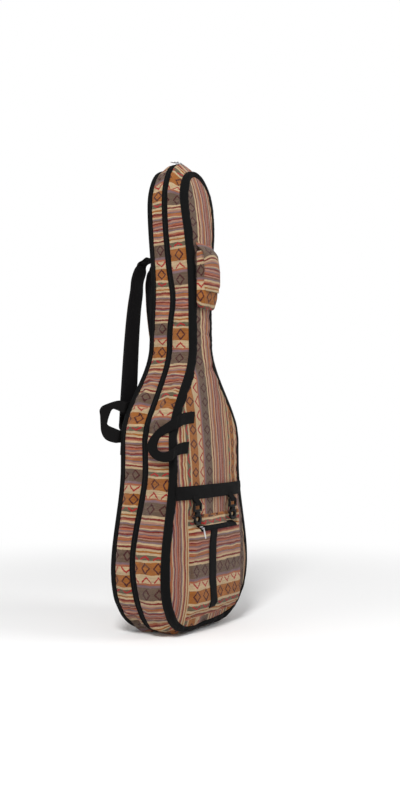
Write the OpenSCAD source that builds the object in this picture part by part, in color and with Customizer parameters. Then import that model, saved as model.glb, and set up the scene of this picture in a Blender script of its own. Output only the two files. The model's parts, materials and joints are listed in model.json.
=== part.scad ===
// Padded gig bag for a long-necked, waisted string instrument.
// Frame: +Z up, z = 0 under the bag, x = 0 is the symmetry plane of the outline,
// the front panel faces -Y and the carrying straps hang behind the back, on the +Y side.

/* [Outline] */
// Half width of the flat part of the bottom
flat_w = 70; // [60:1:80]
// Width of each rounded bottom corner
corner_w = 105; // [95:1:110]
// Height at which the lower bout is widest
bout_z = 142; // [130:1:150]
// Half width at the waist
waist_w = 139; // [130:1:145]
// Height at which the waist begins
waist_z = 370; // [350:1:385]
// Height at which the shoulder begins
shoulder_z = 428; // [415:1:440]
// Half width of the neck
neck_w = 39; // [36:1:44]
// Height at which the neck begins
neck_z = 640; // [620:1:660]
// Height at which the neck starts to widen into the head
neck_top_z = 760; // [745:1:775]
// Half width of the head
head_w = 60; // [56:1:64]
// Height at which the head is widest
head_z = 965; // [945:1:975]
// Radius of the arc over the head
crown_r = 48; // [46:1:50]

/* [Depth] */
// Front face of the body, measured from the middle plane
body_front = 72; // [68:1:76]
// Back face of the body, measured from the middle plane
body_back = 70; // [66:1:74]
// Front face of the neck
neck_front = 54; // [50:1:58]
// Back face of the neck
neck_back = 57; // [54:1:60]
// Plane of the main zip
zip_y = 8; // [4:1:12]

/* [Cloth] */
// Thickness of the woven outer cloth
cloth_t = 1.2; // [1:0.1:1.5]
// Thickness of the foam padding
foam_t = 6; // [4:0.5:8]
// Thickness of the lining
lining_t = 0.8; // [0.6:0.1:1]
// Height of the edge binding above the cloth
binding_t = 2; // [1.5:0.1:2.5]
// Width of each leg of the edge binding
binding_w = 11; // [9:0.5:13]
// Thickness of the webbing
web_t = 2.2; // [1.8:0.1:2.6]
// Width of the webbing of the band and the handles
web_w = 30; // [25:1:32]

/* [Front] */
// Height of the middle of the front band
band_z = 314; // [308:1:320]
// Half width of the lower pocket
pocket_w = 109; // [100:1:110]
// How far the pocket sits to the right of the middle
pocket_x = 12; // [0:1:13]
// Top of the lower pocket
pocket_top_z = 263; // [258:1:266]
// Height of the pocket zip
pocket_zip_z = 234; // [230:1:238]
// How far the pocket stands out of the front
pocket_d = 14; // [12:1:16]
// Half length of the pocket zip
pocket_zip_w = 79; // [70:1:85]
// Left side of the head pouch
pouch_x0 = -35; // [-37:1:-33]
// Right side of the head pouch
pouch_x1 = 27; // [24:1:30]
// Bottom of the head pouch
pouch_z0 = 722; // [715:1:730]
// Top of the head pouch
pouch_z1 = 852; // [846:1:856]
// How far the head pouch stands out of the front
pouch_d = 28; // [24:1:30]
// Height of the flap's lower edge
flap_z = 760; // [750:1:800]

/* [Handles and straps] */
// Height of the middle of the front handle
front_handle_z = 445; // [443:1:447]
// Reach of the front handle
front_reach = 72; // [60:1:74]
// Height of the middle of the rear handle
rear_handle_z = 468; // [466:1:470]
// Reach of the rear handle
rear_reach = 62; // [55:1:66]
// Distance from the middle of a handle to the middle of each of its ends
handle_half = 32.5; // [31:0.5:34]
// Width of the padded shoulder strap
strap_w = 46; // [40:1:48]
// Thickness of the padded shoulder strap
strap_t = 8; // [6:1:9]
// Height of the upper strap anchors
strap_z = 842; // [836:1:846]
// Distance of the upper strap anchors from the middle
strap_x = 27; // [26:1:28]
// Sideways tilt of each strap
strap_tilt = 8; // [7.5:0.5:8.5]

/* [Snap hooks] */
// Distance of each snap hook from the middle
hook_x = 76; // [70:1:80]
// Height of the bar that the webbing loop holds
hook_bar_z = 289; // [288:1:290]
// Radius of the bar
hook_bar_r = 2; // [1.8:0.1:2.2]
// Inner radius of the hook
hook_in_r = 7; // [6.5:0.5:7.5]
// Outer radius of the hook
hook_out_r = 13; // [12:0.5:13]

/* [Hidden] */
$fn = 48;

layer_gap = 0.05;
seam_gap = 0.2;
below = -20;
above = 1090;
cut_x = 400;

cloth_in = cloth_t;
foam_in = cloth_in + layer_gap;
foam_end = foam_in + foam_t;
lining_in = foam_end + layer_gap;
wall_t = lining_in + lining_t;

tape_w = 7;
coil_w = 2.4;
coil_h = 1.8;
hinge_w = flat_w + 4;

// Side profiles as [height, distance from the middle plane] stations.
FRONT = [[below, -56], [60, 3 - body_front], [bout_z, -body_front], [450, 4 - body_front],
         [neck_z, -neck_front - 1], [900, 1 - neck_front], [above, -30]];
REAR = [[below, 60], [60, body_back - 1], [bout_z, body_back], [500, body_back],
        [neck_z, neck_back + 6], [neck_top_z, neck_back], [above, 51]];

// The flank of the head is an arc that meets both the crown and the vertical side of the head.
crown_angle = 30;
flank_r = (head_w - crown_r * cos(crown_angle)) / (1 - cos(crown_angle));
crown_z = head_z + (flank_r - crown_r) * sin(crown_angle);

function ease(t) = t * t * (3 - 2 * t);
function blend_w(z, z0, z1, w0, w1) = w0 + (w1 - w0) * ease((z - z0) / (z1 - z0));
bout_w = flat_w + corner_w;
function half_w(z) =
    z < waist_z ? blend_w(z, bout_z, waist_z, bout_w, waist_w)
    : z < shoulder_z ? waist_w
    : z < neck_z ? blend_w(z, shoulder_z, neck_z, waist_w, neck_w)
    : z < neck_top_z ? neck_w
    : blend_w(z, neck_top_z, head_z, neck_w, head_w);

// Right half of the outline, from the bottom to the crown.
RIGHT = concat(
    [for (a = [0:15:90])
        [flat_w + corner_w * sin(a), binding_t + (bout_z - binding_t) * (1 - cos(a))]],
    [for (z = [bout_z + 28:26:head_z - 12]) [half_w(z), z]],
    [for (a = [0:10:crown_angle])
        [head_w - flank_r + flank_r * cos(a), head_z + flank_r * sin(a)]],
    [for (a = [crown_angle + 10:10:90]) [crown_r * cos(a), crown_z + crown_r * sin(a)]]);
count = len(RIGHT);
OUTLINE = concat(RIGHT, [for (i = [count - 2:-1:0]) [-RIGHT[i][0], RIGHT[i][1]]]);
total = len(OUTLINE);

// Outward unit normal at point i of the outline.
function chord(i) = OUTLINE[(i + 1) % total] - OUTLINE[(i + total - 1) % total];
function outward(i) = [chord(i)[1], -chord(i)[0]] / norm(chord(i));
// The outline moved inward by d.
function inset(d) = [for (i = [0:total - 1]) OUTLINE[i] - d * outward(i)];

function reversed(list) = [for (i = [len(list) - 1:-1:0]) list[i]];
// Lines in the [y, z] plane: d inside the front, d inside the back, and a flat plane.
function front_line(d) = [for (p = FRONT) [p[1] + d, p[0]]];
function rear_line(d) = [for (p = REAR) [p[1] - d, p[0]]];
function flat_line(y) = [[y, below], [y, above]];
function front_at(z) = lookup(z, FRONT);

// Solid between two lines of the [y, z] plane, across the whole width.
module between_lines(near, far) {
    rotate([90, 0, 90]) linear_extrude(cut_x, center = true)
        polygon(concat(near, reversed(far)));
}

// Solid inside the outline moved inward by d.
module outline_block(d) {
    rotate([90, 0, 0]) linear_extrude(cut_x, center = true) polygon(inset(d));
}

module outline_ring(outer, inner) {
    difference() {
        outline_block(outer);
        outline_block(inner);
    }
}

module box_between(low, high) {
    translate(low) cube(high - low);
}

// A flat layer of the front or the back, between two depths, inside an inset outline.
module front_layer(d0, d1, edge) {
    intersection() {
        outline_block(edge);
        between_lines(front_line(d0), front_line(d1));
    }
}

module rear_layer(d0, d1, edge) {
    intersection() {
        outline_block(edge);
        between_lines(rear_line(d1), rear_line(d0));
    }
}

// A layer of the side wall, from a depth behind the front or back face to near the zip.
module front_wall(outer, inner, depth, stop) {
    intersection() {
        outline_ring(outer, inner);
        between_lines(front_line(depth), flat_line(zip_y - stop));
    }
}

module rear_wall(outer, inner, depth, stop) {
    intersection() {
        outline_ring(outer, inner);
        between_lines(flat_line(zip_y + stop), rear_line(depth));
    }
}

// A patch of webbing lying on the front or the back.
module front_patch(x0, x1, z0, z1, low, high) {
    intersection() {
        between_lines(front_line(-high), front_line(-low));
        box_between([x0, -150, z0], [x1, 0, z1]);
    }
}

module rear_patch(x0, x1, z0, z1, low, high) {
    intersection() {
        between_lines(rear_line(-low), rear_line(-high));
        box_between([x0, 0, z0], [x1, 150, z1]);
    }
}

cloth_color = [0.66, 0.5, 0.38];
black = [0.06, 0.06, 0.065];
lining_color = [0.13, 0.13, 0.14];
foam_color = [0.75, 0.74, 0.7];
metal = [0.75, 0.75, 0.77];

// ---- Back half ----

module back_panel() { color(cloth_color) rear_layer(0, cloth_in, 0); }
module back_foam() { color(foam_color) rear_layer(foam_in, foam_end, foam_in); }
module back_lining() { color(lining_color) rear_layer(lining_in, wall_t, lining_in); }

module rear_gusset() {
    color(cloth_color) rear_wall(0, cloth_in, cloth_in + layer_gap, tape_w + seam_gap);
}

module rear_gusset_foam() {
    color(foam_color) rear_wall(foam_in, foam_end, foam_end + layer_gap, coil_w);
}

module rear_gusset_lining() {
    color(lining_color) rear_wall(lining_in, wall_t, wall_t + layer_gap, coil_w);
}

// An L-shaped tape folded over the seam between the back and the side wall.
module rear_edge_binding() {
    color(black) intersection() {
        difference() {
            outline_block(-binding_t);
            difference() {
                outline_block(-layer_gap);
                between_lines(rear_line(-layer_gap), rear_line(-50));
            }
            intersection() {
                outline_block(binding_w);
                between_lines(rear_line(-layer_gap), rear_line(-50));
            }
        }
        between_lines(rear_line(binding_w), rear_line(-binding_t));
    }
}

// The bottom corner gap where the zip stops and the cloth hinge begins.
module hinge_zone(half) { box_between([-half, -100, -5], [half, 100, 40]); }

module rear_zip_tape() {
    color(black) difference() {
        intersection() {
            outline_ring(0, cloth_in);
            between_lines(flat_line(zip_y + seam_gap), flat_line(zip_y + tape_w));
        }
        hinge_zone(hinge_w + 0.5);
    }
}

module rear_zip_coil() {
    color(black) difference() {
        intersection() {
            outline_ring(-coil_h, -layer_gap);
            between_lines(flat_line(zip_y + 0.1), flat_line(zip_y + coil_w));
        }
        hinge_zone(hinge_w + 2);
    }
}

module rear_hinge_strip() {
    color(black) intersection() {
        outline_ring(0, cloth_in);
        between_lines(flat_line(zip_y + seam_gap), flat_line(zip_y + tape_w));
        hinge_zone(hinge_w);
    }
}

patch_half_z = web_w / 2;

module strap_anchor_patch() {
    half = half_w(strap_z - 20) - binding_w - 1.5;
    color(black) rear_patch(-half, half, strap_z - 20, strap_z + 20, layer_gap, web_t);
}

// ---- Shoulder straps ----

strap_drop = 650;
strap_low_x = strap_x + strap_drop * sin(strap_tilt);
strap_low_z = strap_z - strap_drop * cos(strap_tilt);
lower_web_w = 25;
pad_end = 400;
anchor_y = neck_back + 8;
low_anchor_y = body_back + 14;

module strap_lower_tabs() {
    color(black) for (side = [-1, 1]) translate([side * strap_low_x, 0, strap_low_z - 14]) {
        half = lower_web_w / 2;
        box_between([-half, body_back + layer_gap, -30], [half, body_back + web_t, 12]);
        box_between([-half, body_back + layer_gap, 8], [half, low_anchor_y + 1, 8 + web_t]);
    }
}

// A ribbon of even thickness through [y, z] points.
function along(path, i) =
    path[min(i + 1, len(path) - 1)] - path[max(i - 1, 0)];
function across(path, i) = [along(path, i)[1], -along(path, i)[0]] / norm(along(path, i));
function ribbon_side(path, t) = [for (i = [0:len(path) - 1]) path[i] + t * across(path, i)];

module ribbon(path, thickness, width) {
    rotate([90, 0, 90]) linear_extrude(width, center = true) polygon(concat(
        ribbon_side(path, thickness / 2), reversed(ribbon_side(path, -thickness / 2))));
}

module place_strap(side) {
    translate([side * strap_x, 0, strap_z]) rotate([0, -side * strap_tilt, 0]) children();
}

// How far the middle of the strap stands behind the line through its anchors, at a drop below the top.
function strap_y(drop, bow) =
    anchor_y + (low_anchor_y - anchor_y) * drop / strap_drop
    + bow * sin(180 * pow(drop / strap_drop, 0.36));

strap_step = 32;
pad_start = 16;

module strap_pad(side, bow) {
    path = [for (d = [pad_start:strap_step:pad_end]) [strap_y(d, bow), -d]];
    color(black) place_strap(side) ribbon(path, strap_t, strap_w);
}

module strap_webbing(side, bow) {
    upper_end = strap_y(pad_start, bow);
    color(black) place_strap(side) {
        ribbon([[anchor_y, 0], [upper_end - 8, -4], [upper_end, -pad_start + 1]], web_t, strap_w);
        ribbon([[strap_y(pad_end, bow), -pad_end - 1], [low_anchor_y, 8 - strap_drop]],
            web_t, lower_web_w);
    }
}

// Direction of the straight lower webbing, as an angle from the vertical.
function lower_lean(bow) =
    atan2(strap_y(pad_end, bow) - low_anchor_y, strap_drop - pad_end - 9);

adjuster_drop = 30;
adjuster_h = 24;
adjuster_bar = 4;
slot_t = web_t + 0.6;

// A two-slot buckle: a frame with a middle bar, threaded on the lower webbing.
module strap_adjuster(side, bow) {
    color(black) place_strap(side)
        translate([0, strap_y(pad_end, bow), -pad_end - 1]) rotate([-lower_lean(bow), 0, 0])
        translate([0, 0, -adjuster_drop]) {
            difference() {
                box_between([-18, -4.2, -adjuster_h], [18, 4.2, 0]);
                box_between([-14, -slot_t / 2, -adjuster_h - 1], [14, slot_t / 2, 1]);
                for (z = [-adjuster_h + adjuster_bar, -adjuster_h / 2 + adjuster_bar / 2])
                    box_between([-14, -6, z],
                        [14, 6, z + adjuster_h / 2 - 1.5 * adjuster_bar]);
            }
        }
}

left_bow = 37;
right_bow = 45;
module left_strap_pad() { strap_pad(-1, left_bow); }
module left_strap_webbing() { strap_webbing(-1, left_bow); }
module left_strap_adjuster() { strap_adjuster(-1, left_bow); }
module right_strap_pad() { strap_pad(1, right_bow); }
module right_strap_webbing() { strap_webbing(1, right_bow); }
module right_strap_adjuster() { strap_adjuster(1, right_bow); }

// ---- Carrying handles ----

// Half of an elliptical ring of webbing: it reaches along x and its ends are above each other.
function half_ellipse(reach, half) = [for (a = [-90:10:90]) [reach * cos(a), half * sin(a)]];

module handle_loop(reach) {
    start = 1.5;
    rotate([90, 0, 0]) linear_extrude(web_t, center = true) difference() {
        polygon(half_ellipse(reach, handle_half + web_w / 2));
        polygon(half_ellipse(reach - web_w + 2, handle_half - web_w / 2));
        translate([-10, -100]) square([10 + start, 200]);
    }
}

front_hinge_tilt = 14;
front_hinge_x = -139;
front_hinge_y = -body_front - 0.5;
rear_hinge_tilt = 21;
rear_hinge_x = -133;
rear_hinge_y = body_back + 3.5;
front_lean = 100;
rear_lean = 125;

module front_handle_loop() {
    color(black) translate([front_hinge_x, front_hinge_y, front_handle_z])
        rotate([0, front_hinge_tilt, 0]) rotate([0, 0, front_lean]) handle_loop(front_reach);
}

module rear_handle_loop() {
    color(black) translate([rear_hinge_x, rear_hinge_y, rear_handle_z])
        rotate([0, rear_hinge_tilt, 0]) rotate([0, 0, rear_lean]) handle_loop(rear_reach);
}

tab_x = -71;
step_w = 4;

// Each tab lies on the panel, then steps up over the edge binding to the hinge line.
module front_handle_tabs() {
    color(black) for (end = [-1, 1]) {
        z = front_handle_z + end * handle_half;
        edge = -half_w(z + patch_half_z) + 1.45 * binding_w + 1;
        hinge = front_hinge_x + end * handle_half * tan(front_hinge_tilt);
        low = z - patch_half_z;
        high = z + patch_half_z;
        front_patch(edge, tab_x, low, high, layer_gap, web_t);
        front_patch(edge - 0.5, edge + step_w, low, high, layer_gap, 2 * web_t);
        front_patch(hinge + 1.5 + patch_half_z * tan(front_hinge_tilt), edge, low, high,
            web_t - 0.1, 2 * web_t);
    }
}

module rear_handle_tabs() {
    color(black) for (end = [-1, 1]) {
        z = rear_handle_z + end * handle_half;
        edge = -half_w(z + patch_half_z) + 1.45 * binding_w + 1;
        hinge = rear_hinge_x + end * handle_half * tan(rear_hinge_tilt);
        low = z - patch_half_z;
        high = z + patch_half_z;
        rear_patch(edge, tab_x, low, high, layer_gap, web_t);
        rear_patch(edge - 0.5, edge + step_w, low, high, layer_gap, 2 * web_t);
        rear_patch(hinge + 1.5 + patch_half_z * tan(rear_hinge_tilt), edge, low, high,
            web_t - 0.1, 2 * web_t);
    }
}

// ---- Front half ----

module front_panel() { color(cloth_color) front_layer(0, cloth_in, 0); }
module front_foam() { color(foam_color) front_layer(foam_in, foam_end, foam_in); }
module front_lining() { color(lining_color) front_layer(lining_in, wall_t, lining_in); }

module front_gusset() {
    color(cloth_color) front_wall(0, cloth_in, cloth_in + layer_gap, tape_w + seam_gap);
}

module front_gusset_foam() {
    color(foam_color) front_wall(foam_in, foam_end, foam_end + layer_gap, coil_w);
}

module front_gusset_lining() {
    color(lining_color) front_wall(lining_in, wall_t, wall_t + layer_gap, coil_w);
}

module front_edge_binding() {
    color(black) intersection() {
        difference() {
            outline_block(-binding_t);
            difference() {
                outline_block(-layer_gap);
                between_lines(front_line(-50), front_line(-layer_gap));
            }
            intersection() {
                outline_block(binding_w);
                between_lines(front_line(-50), front_line(-layer_gap));
            }
        }
        between_lines(front_line(-binding_t), front_line(binding_w));
    }
}

module front_zip_tape() {
    color(black) difference() {
        intersection() {
            outline_ring(0, cloth_in);
            between_lines(flat_line(zip_y - tape_w), flat_line(zip_y - seam_gap));
        }
        hinge_zone(hinge_w + 0.5);
    }
}

module front_zip_coil() {
    color(black) difference() {
        intersection() {
            outline_ring(-coil_h, -layer_gap);
            between_lines(flat_line(zip_y - coil_w), flat_line(zip_y - 0.1));
        }
        hinge_zone(hinge_w + 2);
    }
}

module front_hinge_strip() {
    color(black) intersection() {
        outline_ring(0, cloth_in);
        between_lines(flat_line(zip_y - tape_w), flat_line(zip_y - seam_gap));
        hinge_zone(hinge_w);
    }
}

band_low = band_z - web_w / 2;
band_high = band_z + web_w / 2;

module front_band() {
    color(black) intersection() {
        outline_block(binding_w + 0.1);
        front_patch(-200, 200, band_low, band_high, layer_gap, web_t);
    }
}

// ---- Snap hooks, hanging from webbing loops under the band ----

hook_y = -body_front - 18;
hook_web_w = 22;
bar_clear = 0.08;
loop_wall = 2.2;
eye_arm = 3.5;
eye_w = hook_web_w + 2 * eye_arm + 1;
eye_plate_z = 273;
eye_plate_t = 4;
hook_t = 6;
hook_c_z = 256;
post_r = 2.5;
post_head_r = 3.6;
post_end_z = 265;
post_head_h = 1.2;
gate_t = 4;
gate_r = 2;
gate_x = -10.2;
gate_pivot_z = -4.6;
gate_top_z = 6.4;
notch_z = 7.2;
pin_r = 0.8;

// A ring of webbing round the hook's bar, with a tongue sewn on below the band.
module hook_loops() {
    tongue_z = band_low - 0.3;
    tongue_y = front_at(band_low);
    color(black) for (side = [-1, 1]) translate([side * hook_x, 0, 0])
        rotate([90, 0, 90]) linear_extrude(hook_web_w, center = true) difference() {
            union() {
                translate([hook_y, hook_bar_z]) circle(hook_bar_r + loop_wall);
                polygon([[hook_y + 1, hook_bar_z - 2], [hook_y - 2, hook_bar_z + 3.6],
                    [tongue_y - web_t, tongue_z - 0.5], [tongue_y - 0.4, tongue_z - 0.5],
                    [tongue_y - 0.4, tongue_z - 9]]);
            }
            translate([hook_y, hook_bar_z]) circle(hook_bar_r + bar_clear);
        }
}

// The eye: a bar across the webbing loop, two arms, a plate and the swivel post under it.
module hook_eye(side) {
    half = eye_w / 2;
    depth = hook_t / 2 - 0.5;
    color(black) translate([side * hook_x, hook_y, 0]) {
        translate([-half, 0, hook_bar_z]) rotate([0, 90, 0]) cylinder(r = hook_bar_r, h = eye_w);
        for (arm = [-1, 1]) {
            inner = half - eye_arm;
            translate([arm * (inner + half) / 2, 0, 0]) {
                box_between([-eye_arm / 2, -depth, eye_plate_z], [eye_arm / 2, depth, hook_bar_z]);
                translate([-eye_arm / 2, 0, hook_bar_z]) rotate([0, 90, 0])
                    cylinder(r = depth, h = eye_arm);
            }
        }
        box_between([-half, -depth, eye_plate_z], [half, depth, eye_plate_z + eye_plate_t]);
        translate([0, 0, post_end_z]) cylinder(r = post_r, h = eye_plate_z - post_end_z + 1);
        translate([0, 0, post_end_z]) cylinder(r = post_head_r, h = post_head_h);
    }
}

// The hook turns on the post. Its ring has a notch for the gate and two cheeks for the gate's pin.
module hook_body(side) {
    barrel_r = 6.5;
    notch_x = -hook_out_r - 1;
    notch_end = 1.2 - hook_in_r;
    color(black) translate([side * hook_x, hook_y, 0]) difference() {
        union() {
            translate([0, 0, hook_c_z + hook_in_r + 1])
                cylinder(r = barrel_r, h = eye_plate_z - 0.4 - hook_c_z - hook_in_r - 1);
            translate([0, 0, hook_c_z]) difference() {
                rotate([90, 0, 0]) cylinder(r = hook_out_r, h = hook_t, center = true);
                rotate([90, 0, 0]) cylinder(r = hook_in_r, h = hook_t + 20, center = true);
                box_between([notch_x, -10, gate_pivot_z + gate_r + 0.6], [notch_end, 10, notch_z]);
                difference() {
                    box_between([notch_x, -gate_t / 2 - 0.15, -notch_z],
                        [notch_end, gate_t / 2 + 0.15, 2]);
                    translate([gate_x, 0, gate_pivot_z]) rotate([90, 0, 0])
                        cylinder(r = pin_r, h = 20, center = true);
                }
            }
        }
        translate([0, 0, post_end_z + post_head_h + 0.1])
            cylinder(r = post_r + bar_clear, h = 20);
        translate([0, 0, post_end_z - 0.1])
            cylinder(r = post_head_r + bar_clear, h = post_head_h + 0.2);
    }
}

// The gate closes the notch and has an ear for the thumb.
module hook_gate(side) {
    color(black) translate([side * hook_x, hook_y, hook_c_z]) difference() {
        union() {
            translate([gate_x, 0, gate_pivot_z]) rotate([90, 0, 0])
                cylinder(r = gate_r, h = gate_t, center = true);
            box_between([gate_x - gate_r, -gate_t / 2, gate_pivot_z],
                [gate_x + gate_r, gate_t / 2, gate_top_z]);
            box_between([gate_x - gate_r - 3, -gate_t / 2, 1.2],
                [gate_x, gate_t / 2, 4.4]);
        }
        translate([gate_x, 0, gate_pivot_z]) rotate([90, 0, 0])
            cylinder(r = pin_r + 0.06, h = 20, center = true);
    }
}

module left_hook_eye() { hook_eye(-1); }
module left_hook_body() { hook_body(-1); }
module left_hook_gate() { hook_gate(-1); }
module right_hook_eye() { hook_eye(1); }
module right_hook_body() { hook_body(1); }
module right_hook_gate() { hook_gate(1); }

// ---- Lower pocket ----

pocket_low_z = 36;
pocket_turn_z = 52;
pocket_face_y = -body_front - pocket_d;
pocket_turn_y = 1 - body_front - pocket_d;
pocket_cloth = 1.4;
pocket_zip_half = 5;

// Outer profile of the pocket in the [y, z] plane, made smaller by d.
function pocket_profile(d) = [
    [10, pocket_low_z + d], [front_at(pocket_low_z) - 2 + d, pocket_low_z + d],
    [pocket_turn_y + d, pocket_turn_z + d / 2], [pocket_face_y + d, pocket_zip_z + pocket_zip_half],
    [front_at(pocket_top_z) - 2 + d, pocket_top_z - d], [10, pocket_top_z - d]];

module pocket_block(d, half) {
    difference() {
        rotate([90, 0, 90]) linear_extrude(2 * half, center = true) polygon(pocket_profile(d));
        between_lines(front_line(-layer_gap), flat_line(50));
    }
}

module pocket_shell(z0, z1) {
    intersection() {
        difference() {
            pocket_block(0, pocket_w - pocket_cloth - layer_gap);
            pocket_block(pocket_cloth, pocket_w);
        }
        box_between([-200, -200, z0], [200, 0, z1]);
    }
}

module pocket_zip_window(grow) {
    box_between([-pocket_zip_w - grow, -200, pocket_zip_z - pocket_zip_half - grow],
        [pocket_zip_w + grow, -body_front - pocket_d / 2, pocket_zip_z + pocket_zip_half + grow]);
}

pocket_split_z = pocket_zip_z + pocket_zip_half;

module pocket_face() {
    color(cloth_color) translate([pocket_x, 0, 0]) difference() {
        pocket_shell(0, pocket_split_z - layer_gap);
        pocket_zip_window(layer_gap);
    }
}

module pocket_top_strip() {
    color(cloth_color) translate([pocket_x, 0, 0]) pocket_shell(pocket_split_z, 300);
}

// The pocket's two side walls, one solid on each side.
module pocket_gusset() {
    color(cloth_color) translate([pocket_x, 0, 0]) difference() {
        pocket_block(0, pocket_w);
        box_between([-pocket_w + pocket_cloth, -200, 0], [pocket_w - pocket_cloth, 0, 300]);
    }
}

// Y of the pocket's front face at a height below the zip.
function pocket_face_at(z) = lookup(z,
    [[pocket_turn_z, pocket_turn_y], [pocket_split_z, pocket_face_y]]);

// A strip lying on the pocket's face.
module on_pocket(x0, x1, z0, z1, low, high) {
    rotate([90, 0, 90]) translate([0, 0, x0]) linear_extrude(x1 - x0) polygon([
        [pocket_face_at(z0) - low, z0], [pocket_face_at(z0) - high, z0],
        [pocket_face_at(z1) - high, z1], [pocket_face_at(z1) - low, z1]]);
}

strip_half = 14;
strip_x = -17;
module pocket_center_strip() {
    color(black) on_pocket(strip_x - strip_half, strip_x + strip_half, 55,
        pocket_zip_z - pocket_zip_half - 0.4, layer_gap, web_t);
}

module pocket_zip_tape() {
    low = pocket_zip_z - pocket_zip_half;
    color(black) translate([pocket_x, 0, 0]) difference() {
        on_pocket(-pocket_zip_w, pocket_zip_w, low, pocket_split_z - layer_gap,
            -pocket_cloth, 0);
        on_pocket(-pocket_zip_w - 1, pocket_zip_w + 1, low - 1, low, -50, 50);
    }
}

module pocket_zip_coil() {
    color(black) translate([pocket_x, 0, 0]) on_pocket(-pocket_zip_w + 2, pocket_zip_w - 2,
        pocket_zip_z - coil_w, pocket_zip_z + coil_w, layer_gap, coil_h);
}

// ---- Head pouch ----

pouch_cloth = 1.5;
pouch_gap = 1;
flap_hinge_z = pouch_z1 + 4;
flap_hinge_y = front_at(flap_hinge_z) - binding_t - 0.6;
pouch_face_y = front_at(pouch_z0) - pouch_d;

// An open-topped cloth box with its back against the head's front.
module pouch_body() {
    wall = pouch_cloth;
    color(cloth_color) difference() {
        box_between([pouch_x0, pouch_face_y, pouch_z0], [pouch_x1, 0, pouch_z1]);
        box_between([pouch_x0 + wall, pouch_face_y + wall, pouch_z0 + wall],
            [pouch_x1 - wall, front_at(pouch_z0) - binding_t - wall - 0.3, pouch_z1 + 10]);
        between_lines(front_line(-binding_t - layer_gap), flat_line(100));
    }
}

closure_half = 18;
closure_t = 1.2;
module pouch_closure_patch() {
    mid = (pouch_x0 + pouch_x1) / 2;
    color(black) box_between([mid - closure_half, pouch_face_y - closure_t, flap_z + 6],
        [mid + closure_half, pouch_face_y - layer_gap, flap_z + 22]);
}

flap_in_y = pouch_face_y - 2 * closure_t - 0.6;

module pouch_flap() {
    wall = pouch_cloth;
    side = 2;
    color(cloth_color) {
        box_between([pouch_x0 - side, flap_in_y - wall, flap_z],
            [pouch_x1 + side, flap_in_y, flap_hinge_z + wall]);
        box_between([pouch_x0 - side, flap_in_y - 0.5, pouch_z1 + pouch_gap],
            [pouch_x1 + side, flap_hinge_y, pouch_z1 + pouch_gap + wall]);
    }
}

module flap_closure_patch() {
    mid = (pouch_x0 + pouch_x1) / 2;
    color(black) box_between([mid - closure_half, flap_in_y + layer_gap, flap_z + 6],
        [mid + closure_half, flap_in_y + closure_t, flap_z + 22]);
}

// ---- Zip sliders ----

slider_l = 11;
slider_w = 9;
slider_floor = 0.4;
slider_roof = coil_h + 0.4;
slider_top = slider_roof + 1.4;
bridge_top = slider_top + 4.6;
bridge_t = 1.2;
bridge_half = 4;
pull_pin_r = 0.9;
pull_pin_up = (slider_top + bridge_top - bridge_t) / 2;
pull_l = 26;
pull_w = 8;
pull_t = 1.6;

// Drawn with the zip along x and z = 0 on the tape.
module slider_shape() {
    half_l = slider_l / 2;
    half_w = slider_w / 2;
    difference() {
        box_between([-half_l, -half_w, slider_floor], [half_l, half_w, slider_top]);
        box_between([-half_l - 1, -coil_w - 0.5, -1], [half_l + 1, coil_w + 0.5, slider_roof]);
    }
    for (end = [-1, 1]) translate([end * (bridge_half - bridge_t / 2), 0, 0])
        box_between([-bridge_t / 2, -1.5, slider_top - 0.5], [bridge_t / 2, 1.5, bridge_top]);
    box_between([-bridge_half, -1.5, bridge_top - bridge_t], [bridge_half, 1.5, bridge_top]);
}

// A cross-bar through the bridge, two arms and a tab with a rounded end and a slot.
module pull_shape() {
    arm = 1.5;
    translate([0, 0, pull_pin_up]) {
        rotate([90, 0, 0]) cylinder(r = pull_pin_r, h = pull_w, center = true);
        for (side = [-1, 1]) translate([0, side * (pull_w - arm) / 2, 0])
            box_between([-7, -arm / 2, -pull_t / 2], [0, arm / 2, pull_t / 2]);
        translate([0, 0, -pull_t / 2]) linear_extrude(pull_t) difference() {
            union() {
                translate([4 - pull_l, -pull_w / 2]) square([pull_l - 10, pull_w]);
                translate([4 - pull_l, 0]) circle(pull_w / 2);
            }
            translate([4 - pull_l, 0]) circle(2);
        }
    }
}

slider_angle = 8;

// On the crown arc, at an angle from the top; z runs outward and x along the zip.
module on_crown(side) {
    translate([0, zip_y, crown_z]) rotate([0, side * slider_angle, 0])
        translate([0, 0, crown_r]) rotate([0, 0, side > 0 ? 180 : 0]) children();
}

module zip_slider_left() { color(metal) on_crown(-1) slider_shape(); }
module zip_pull_left() { color(metal) on_crown(-1) pull_shape(); }
module zip_slider_right() { color(metal) on_crown(1) slider_shape(); }
module zip_pull_right() { color(metal) on_crown(1) pull_shape(); }

// The pocket's slider stands on the left end of its zip.
module on_pocket_zip() {
    translate([pocket_x - pocket_zip_w + 9, pocket_face_at(pocket_zip_z), pocket_zip_z])
        rotate([90, 0, 0]) children();
}

pull_ring_in = 2.1;
pull_ring_out = 3.5;

// A ring round the slider's bridge with a tab that hangs below it.
module hanging_pull_shape() {
    translate([0, 0, bridge_top - bridge_t / 2]) {
        rotate([0, 90, 0]) difference() {
            cylinder(r = pull_ring_out, h = pull_t, center = true);
            cylinder(r = pull_ring_in, h = 10, center = true);
        }
        translate([-pull_t / 2, -pull_l, -pull_w / 4])
            cube([pull_t, pull_l - pull_ring_in - 0.8, pull_w / 2]);
    }
}

module pocket_zip_slider() { color(metal) on_pocket_zip() slider_shape(); }
module pocket_zip_pull() { color(metal) on_pocket_zip() hanging_pull_shape(); }

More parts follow.
